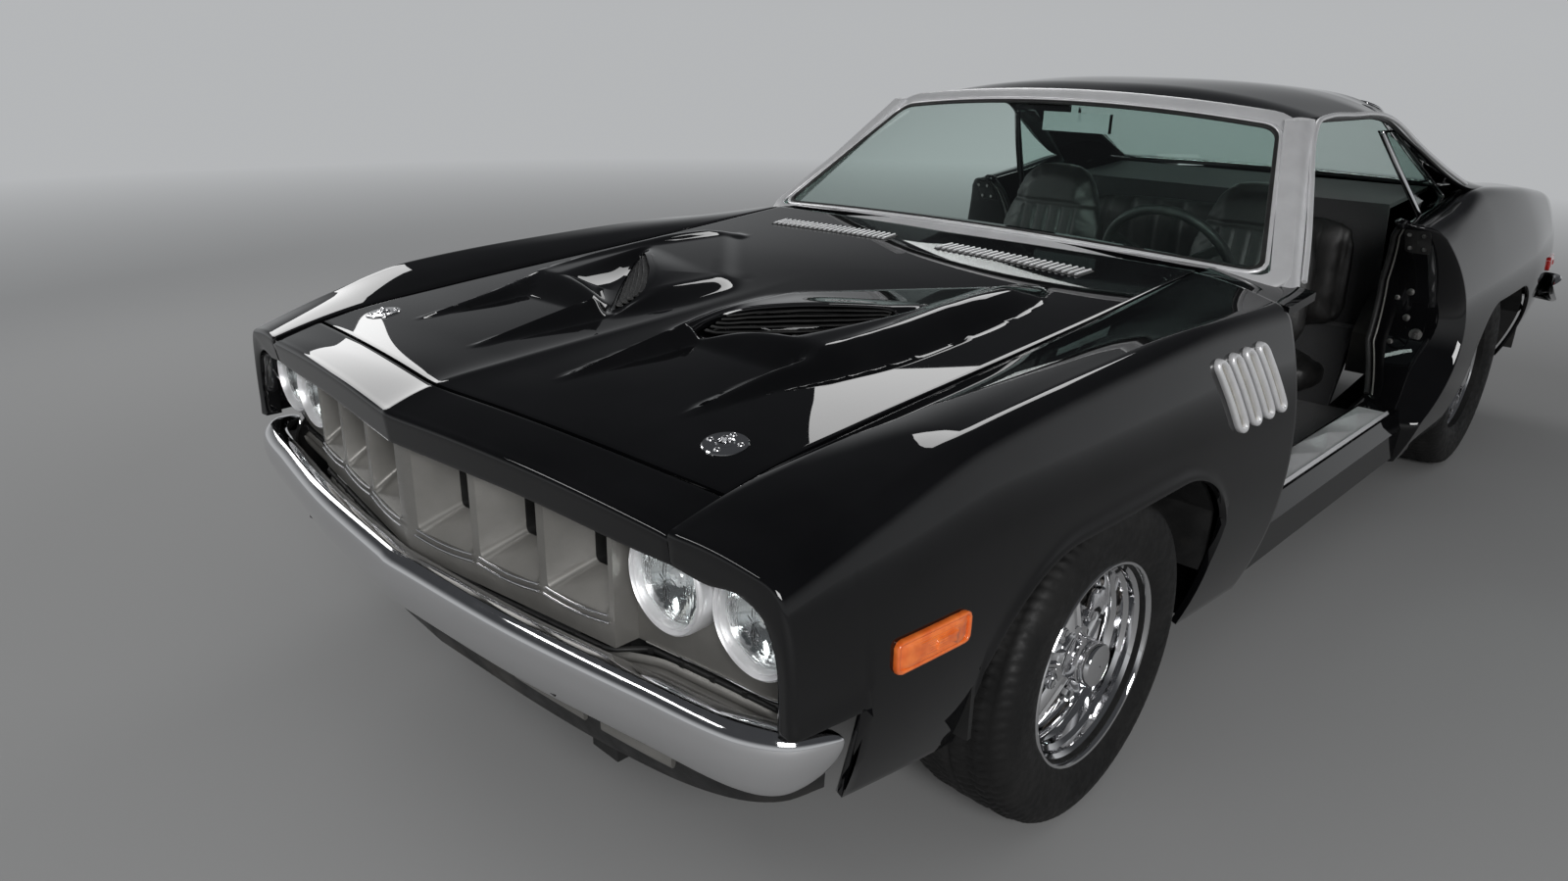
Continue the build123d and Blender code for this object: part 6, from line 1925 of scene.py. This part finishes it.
# Profiles of radius and height over the hood
PIN_PLATE = [
    (0.0375, -0.002),
    (0.0375, 0.0015),
    (0.036, 0.003),
    (0.016, 0.0036),
    (0.0145, 0.006),
    (0.0115, 0.0065),
    (0.0105, 0.003),
    (0.0105, -0.002),
]
PIN_POST = [(0.0055, -0.002), (0.0055, 0.010), (0.0045, 0.013), (0.001, 0.014)]
PIN_SCREW = [(0.0055, 0.002), (0.0052, 0.0045), (0.0035, 0.0062), (0.0008, 0.0066)]
PIN_SCREWS_RADIUS = 0.0265


def hood_disc(x, s, profile, count=40):
    """A profile of radius and height turned about a place on the hood and laid on it."""
    radius, height = np.array(profile)[:, :1], np.array(profile)[:, 1:]
    turn = full_turn(count)[None]
    points = on_hood(x + radius * np.cos(turn), s + radius * np.sin(turn), height + 0 * turn)
    return (points, False, True)


def hood_pin_pieces():
    """A round plate with a raised hole, its locking pin and four screws."""
    x, s = HOOD_PIN
    parts = [hood_disc(x, s, PIN_PLATE), hood_disc(x, s, PIN_POST, 20)]
    for k in range(4):
        turn = k * pi / 2 + 0.35
        screw_x, screw_s = x + PIN_SCREWS_RADIUS * cos(turn), s + PIN_SCREWS_RADIUS * sin(turn)
        parts.append(hood_disc(screw_x, screw_s, PIN_SCREW, 16))
    piece("hood_pin_plates", both_sides(parts), "chrome", "hood", "chrome")


VENT_X = (0.092, 0.490)
VENT_S = 0.556
VENT_HALF = 0.028
VENT_SLATS = 24


def hood_vent_pieces():
    """A row of slanted slats over a dark plate behind each bulge: the plate is painted shade for the recess
    under the slats.
    """
    middle = (VENT_X[0] + VENT_X[1]) / 2

    def in_vent(x, u, v, proud):
        return on_hood(x + u + 0.10 * v, VENT_S + v - 0.02 * (x + u - 0.29), proud)

    along = np.linspace(-VENT_HALF, VENT_HALF, 6)
    lines = [in_vent(x, 0, along, 0.0035) for x in np.linspace(*VENT_X, VENT_SLATS)]
    slats = [carry(line, rounded(0.0065, 0.005, 3, 10)) for line in lines]
    # Painted shade: a matte black plate 1.2 mm over the hood stands for the shaded recess under the slats.
    ring = frame_outline(VENT_X[1] - VENT_X[0] + 0.022, 2 * VENT_HALF + 0.010, 0.006, 80)
    share = np.linspace(0, 0.98, 6)[:, None]
    u, v = ring[None, :, 0] * (1 - share), ring[None, :, 1] * (1 - share)
    shade_plate = (in_vent(middle, u, v, 0.0012 + 0 * u), False, True)
    piece("hood_vent_slats", both_sides(slats), "satin", "hood", "polished")
    below = (0, FRONT_AXLE + 0.55, 0.5)
    skin("hood_vent_painted_shade", both_sides([shade_plate]), below, "black_plastic", 0.003, body="hood")


SLAT_SHARES = (0.14, 0.30, 0.46, 0.62, 0.78)
SLAT_BACK = 0.012


def scoop_slat_pieces():
    """Slats across each scoop's mouth, between its lower and upper edges, SLAT_BACK inside it."""
    low, high = MOUTH[:7], MOUTH[:6:-1]
    high = high[np.argsort(high[:, 0])]
    x = np.linspace(0.140, 0.396, 40)
    slats = []
    for share in SLAT_SHARES:
        edges = ([np.interp(x, side[:, 0], side[:, k]) for side in (low, high)] for k in (1, 2))
        s, rise = (blend_points(*pair, share) for pair in edges)
        line = stack(x, FRONT_AXLE + s + SLAT_BACK, lid_height(FRONT, x, s, HOOD_HALF) + rise)
        slats.append(carry(line, rounded(0.014, 0.0035, 3, 10)))
    piece("scoop_slats", both_sides(slats), "black_plastic", "hood")


gill_pieces()
scoop_slat_pieces()
marker_pieces()
hood_pin_pieces()
hood_vent_pieces()

# Wheels: stepped barrels, five spokes, a plain cap and treaded tyres

# Half sections as (radius, place outwards along the axle)
BARREL = [
    (0.2085, 0.094), (0.2085, 0.103), (0.2055, 0.1075), (0.2005, 0.1065), (0.1975, 0.101), (0.1962, 0.088),
    (0.1925, 0.084), (0.1893, 0.080), (0.1885, 0.068), (0.1850, 0.064), (0.1815, 0.060), (0.1803, 0.046),
    (0.1765, 0.042), (0.1730, 0.037), (0.1715, 0.020), (0.1650, 0.012), (0.1600, -0.020), (0.1600, -0.088),
    (0.1900, -0.100), (0.2085, -0.104), (0.2085, -0.094), (0.1935, -0.085), (0.1935, 0.085),
]
HUB = [
    (0.002, 0.020), (0.064, 0.020), (0.064, 0.050), (0.060, 0.057), (0.048, 0.060),
    (0.0455, 0.066), (0.0450, 0.086), (0.0430, 0.088), (0.0430, 0.091), (0.0450, 0.093),
    (0.0450, 0.102), (0.0415, 0.109), (0.0310, 0.1115), (0.002, 0.1120),
]
HUB_PLATE = [(0.002, 0.014), (0.098, 0.014), (0.101, 0.020), (0.098, 0.030), (0.060, 0.034), (0.002, 0.034)]
DRUM = [(0.002, -0.030), (0.142, -0.030), (0.142, 0.004), (0.136, 0.008), (0.070, 0.010), (0.002, 0.010)]
LUG_NUT = np.array([(0.001, 0.02), (0.0115, 0.02), (0.0115, 0.058), (0.009, 0.064), (0.001, 0.066)])
NUTS_RADIUS = 0.0835
# A spoke's section as shares of its width and thickness
SPOKE_SECTION = np.array(
    [
        (-0.5, -0.5), (-0.5, 0.15), (-0.42, 0.34), (-0.20, 0.5), (-0.10, 0.36),
        (0.10, 0.36), (0.20, 0.5), (0.42, 0.34), (0.5, 0.15), (0.5, -0.5),
    ]
)
SPOKE_COUNT = 5
TREAD_BLOCKS = 96
TREAD_DEEP = 0.006
TREAD_GROOVES = (0.0, 0.34, 0.68)
Wheel = namedtuple("Wheel", "half_track axle radius width side")
WHEELS = {
    "front_left": Wheel(0.809, FRONT_AXLE, 0.329, 0.235, 1),
    "front_right": Wheel(0.809, FRONT_AXLE, 0.329, 0.235, -1),
    "rear_left": Wheel(0.765, REAR_AXLE, 0.340, 0.255, 1),
    "rear_right": Wheel(0.765, REAR_AXLE, 0.340, 0.255, -1),
}


def about_axle(across, turn, radius):
    """Points at a radius and angle about the wheel's own axle, across being outwards."""
    return stack(across, radius * np.cos(turn), radius * np.sin(turn))


def spoke_patch(angle):
    """A spoke from hub to barrel: a ridged section whose width goes from 62 to 44 mm and flares at
    the barrel, and whose face falls 30 mm outwards."""
    t = np.linspace(0, 1, 14)[:, None]
    width = 0.062 - 0.018 * t + 0.022 * ramp(t, 0.85, 1.0)
    thick = 0.034 - 0.006 * t
    radius = blend_points(0.036, 0.176, t)
    face = 0.062 - 0.030 * t**1.3
    across = face - thick / 2 + SPOKE_SECTION[None, :, 1] * thick
    sideways = SPOKE_SECTION[None, :, 0] * width
    y = radius * cos(angle) - sideways * sin(angle)
    z = radius * sin(angle) + sideways * cos(angle)
    return (closed_ends(stack(across, y, z)), False, True)


def nut_patch(angle):
    """A lug nut: six sides with a domed end."""
    turn = full_turn(6)[None]
    y = NUTS_RADIUS * cos(angle) + LUG_NUT[:, :1] * np.cos(turn)
    z = NUTS_RADIUS * sin(angle) + LUG_NUT[:, :1] * np.sin(turn)
    return (stack(LUG_NUT[:, 1:] + 0 * y, y, z), False, True)


def tyre_patch(radius, width):
    """A tyre: the section of a round shouldered band turned about the axle. Round the crown the
    radius drops by TREAD_DEEP in a middle groove, in two on each side and in slanted cuts,
    TREAD_BLOCKS to a turn; the sides carry thin rings."""
    half = width / 2
    wall = [(0.84, 0.1955), (0.95, 0.222), (1.0, 0.258), (0.985, radius - 0.040)]
    crown = [(0.90, radius - 0.016), (0.74, radius - 0.005), (0.40, radius - 0.001), (0, radius)]
    line = smooth_path([(a * half, r) for a, r in wall + crown], 28)
    line = np.concatenate([line, line[-2::-1] * (-1, 1)])
    turn = full_turn(TREAD_BLOCKS * 4)[:, None]
    across, r = line[None, :, 0], line[None, :, 1]
    share = np.abs(across) / half
    tread = ramp(r, radius - 0.030, radius - 0.018)
    bands = sum(np.exp(-(((share - middle) / 0.045) ** 2)) for middle in TREAD_GROOVES)
    wave = np.cos(TREAD_BLOCKS * turn + 9 * share**1.6)
    cuts = ramp(wave, 0.62, 0.80) * ramp(share, 0.10, 0.20) * (1 - 0.5 * ramp(share, 0.66, 0.70))
    rings = sum(np.exp(-(((r - at) / 0.0018) ** 2)) for at in (0.214, 0.221, radius - 0.050))
    drop = TREAD_DEEP * tread * np.clip(bands + cuts, 0, 1)
    out = 0.0010 * rings * np.sign(across)
    return (about_axle(across + out + 0 * turn, turn, r - drop), True, True)


def wheel_patches():
    """The chrome wheel about its own axle: barrel, hub, spokes, nuts and the plate behind them."""
    angles = pi / 2 + 2 * pi * np.arange(SPOKE_COUNT) / SPOKE_COUNT
    barrel, _ = opened(lathe(BARREL, (0, 0, 0), "x", 96))
    parts = [(barrel, True, True), lathe(HUB, (0, 0, 0))]
    parts += [spoke_patch(angle) for angle in angles]
    parts += [nut_patch(angle + pi / SPOKE_COUNT) for angle in angles]
    return parts + [lathe(HUB_PLATE, (0, 0, 0))]


def wheel_pieces(corner, wheel):
    """Tyre, chrome wheel and brake drum of one corner."""
    flip = (wheel.side, 1, 1)
    seat = (wheel.side * wheel.half_track, wheel.axle, wheel.radius)
    body = f"wheel_{corner}"

    def seated(patches):
        return [placed(patch, flip, seat) for patch in patches]

    rubber = seated([tyre_patch(wheel.radius, wheel.width)])
    piece(f"tread_tyre_{corner}", rubber, "tyre", body, "tyre", (f"tyre_{corner}",), 50)
    metal = seated(wheel_patches())
    piece(f"chrome_wheel_{corner}", metal, "chrome", body, "chrome", (f"rim_{corner}",), 32)
    piece(f"brake_drum_{corner}", seated([lathe(DRUM, (0, 0, 0))]), "iron", body, "iron")


for corner, wheel in WHEELS.items():
    wheel_pieces(corner, wheel)


# Stage: a pale floor, a pale room and soft lamps


HORIZON = (0.46, 0.47, 0.48)
ZENITH = (0.050, 0.052, 0.056)
FLOOR_NEAR = 3.2
FLOOR_FAR = 12.0
FLOOR_HALF = 60


def stage():
    """A pale floor that fades into the room's colour with its distance from the car."""
    corners = [(x * FLOOR_HALF, y * FLOOR_HALF, 0) for x, y in ((-1, -1), (1, -1), (1, 1), (-1, 1))]
    mesh = bpy.data.meshes.new("floor")
    mesh.from_pydata(corners, [], [(0, 1, 2, 3)])
    floor = new_object("floor", mesh)
    f = Finish("pale_floor", (0.34, 0.34, 0.34), 0.9, Specular_IOR_Level=0.1)
    length = f.node("ShaderNodeVectorMath", operation="LENGTH")
    f.join(f.where(), length.inputs[0])
    far = f.levels(length.outputs["Value"], FLOOR_NEAR, FLOOR_FAR)
    glow = f.node("ShaderNodeEmission")
    glow.inputs["Color"].default_value = (*HORIZON, 1)
    mix = f.node("ShaderNodeMixShader")
    f.join(far, mix.inputs["Fac"])
    f.join(f.shader.outputs["BSDF"], mix.inputs[1])
    f.join(glow.outputs[0], mix.inputs[2])
    f.join(mix.outputs[0], f.tree.nodes["Material Output"].inputs["Surface"])
    mesh.materials.append(f.material)
    floor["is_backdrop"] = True


def seen_ray(tree):
    """1 where the camera, a reflection or a view through glass looks at the room."""
    path = tree.nodes.new("ShaderNodeLightPath")
    total = path.outputs["Is Camera Ray"]
    for other in ("Is Glossy Ray", "Is Transmission Ray"):
        either = tree.nodes.new("ShaderNodeMath")
        either.operation = "MAXIMUM"
        tree.links.new(total, either.inputs[0])
        tree.links.new(path.outputs[other], either.inputs[1])
        total = either.outputs[0]
    return total


def room():
    """A soft even light on the object, and a pale room with a dim ceiling where it is seen."""
    world = bpy.data.worlds.new("studio")
    bpy.context.scene.world = world
    world.use_nodes = True
    tree = world.node_tree
    back = tree.nodes["Background"]
    back.inputs["Color"].default_value = (0.62, 0.63, 0.64, 1)
    back.inputs["Strength"].default_value = 0.5
    seat = tree.nodes.new("ShaderNodeTexCoord")
    split = tree.nodes.new("ShaderNodeSeparateXYZ")
    tree.links.new(seat.outputs["Generated"], split.inputs[0])
    fade = tree.nodes.new("ShaderNodeMapRange")
    fade.interpolation_type = "SMOOTHSTEP"
    fade.inputs["From Min"].default_value = 0.02
    fade.inputs["From Max"].default_value = 0.42
    tree.links.new(split.outputs["Z"], fade.inputs["Value"])
    mix_colour = tree.nodes.new("ShaderNodeMix")
    mix_colour.data_type = "RGBA"
    mix_colour.inputs["A"].default_value = (*HORIZON, 1)
    mix_colour.inputs["B"].default_value = (*ZENITH, 1)
    tree.links.new(fade.outputs["Result"], mix_colour.inputs["Factor"])
    shown = tree.nodes.new("ShaderNodeBackground")
    tree.links.new(mix_colour.outputs["Result"], shown.inputs["Color"])
    mix = tree.nodes.new("ShaderNodeMixShader")
    tree.links.new(seen_ray(tree), mix.inputs["Fac"])
    tree.links.new(back.outputs[0], mix.inputs[1])
    tree.links.new(shown.outputs[0], mix.inputs[2])
    tree.links.new(mix.outputs[0], tree.nodes["World Output"].inputs["Surface"])


def lamp(name, place_at, aim, size, power):
    """A soft rectangular lamp at place_at that points at aim."""
    light = bpy.data.lights.new(name, "AREA")
    light.shape = "RECTANGLE"
    light.size, light.size_y = size
    light.energy = power
    holder = new_object(name, light)
    holder.location = place_at
    holder.rotation_euler = (Vector(aim) - Vector(place_at)).to_track_quat("-Z", "Y").to_euler()


stage()
room()
lamp("overhead", (-2.6, 3.6, 4.4), (0, 0, 0.8), (3.2, 1.3), 40)
lamp("front_strip", (-1.8, -5.0, 3.9), (0.2, -2.0, 0.5), (3.0, 0.4), 26)
lamp("front_left", (4.2, -4.6, 2.9), (0.3, -0.8, 0.6), (2.2, 1.6), 150)
lamp("side_right", (-4.6, -1.5, 2.6), (0, 0, 0.6), (2.6, 1.4), 34)


# The camera fitted to the photograph: place, angles and lens
CAMERA_PLACE = (1.6844, -3.0694, 1.3963)
AZIMUTH = radians(44.36)
ELEVATION = radians(20.22)
ROLL = radians(1.17)
SENSOR_WIDTH = 36
FOCAL_LENGTH = 24.13


def camera():
    """The photograph's viewpoint."""
    level = cos(ELEVATION)
    ahead = Vector((-sin(AZIMUTH) * level, cos(AZIMUTH) * level, -sin(ELEVATION)))
    right = ahead.cross(Vector((0, 0, 1))).normalized()
    up = right.cross(ahead)
    across = cos(ROLL) * right + sin(ROLL) * up
    above = cos(ROLL) * up - sin(ROLL) * right
    lens = bpy.data.cameras.new("view")
    lens.sensor_width = SENSOR_WIDTH
    lens.sensor_fit = "HORIZONTAL"
    lens.lens = FOCAL_LENGTH
    lens.clip_start = 0.05
    lens.clip_end = 200
    holder = new_object("view", lens)
    turned = Matrix((across, above, -ahead)).transposed().to_4x4()
    holder.matrix_world = Matrix.Translation(CAMERA_PLACE) @ turned
    bpy.context.scene.camera = holder


camera()
bpy.context.scene.view_settings.view_transform = "Standard"

boxes = {"cad": cad_box, "visual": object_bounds()}
{k: [[float(n) for n in corner] for corner in v] for k, v in boxes.items()}
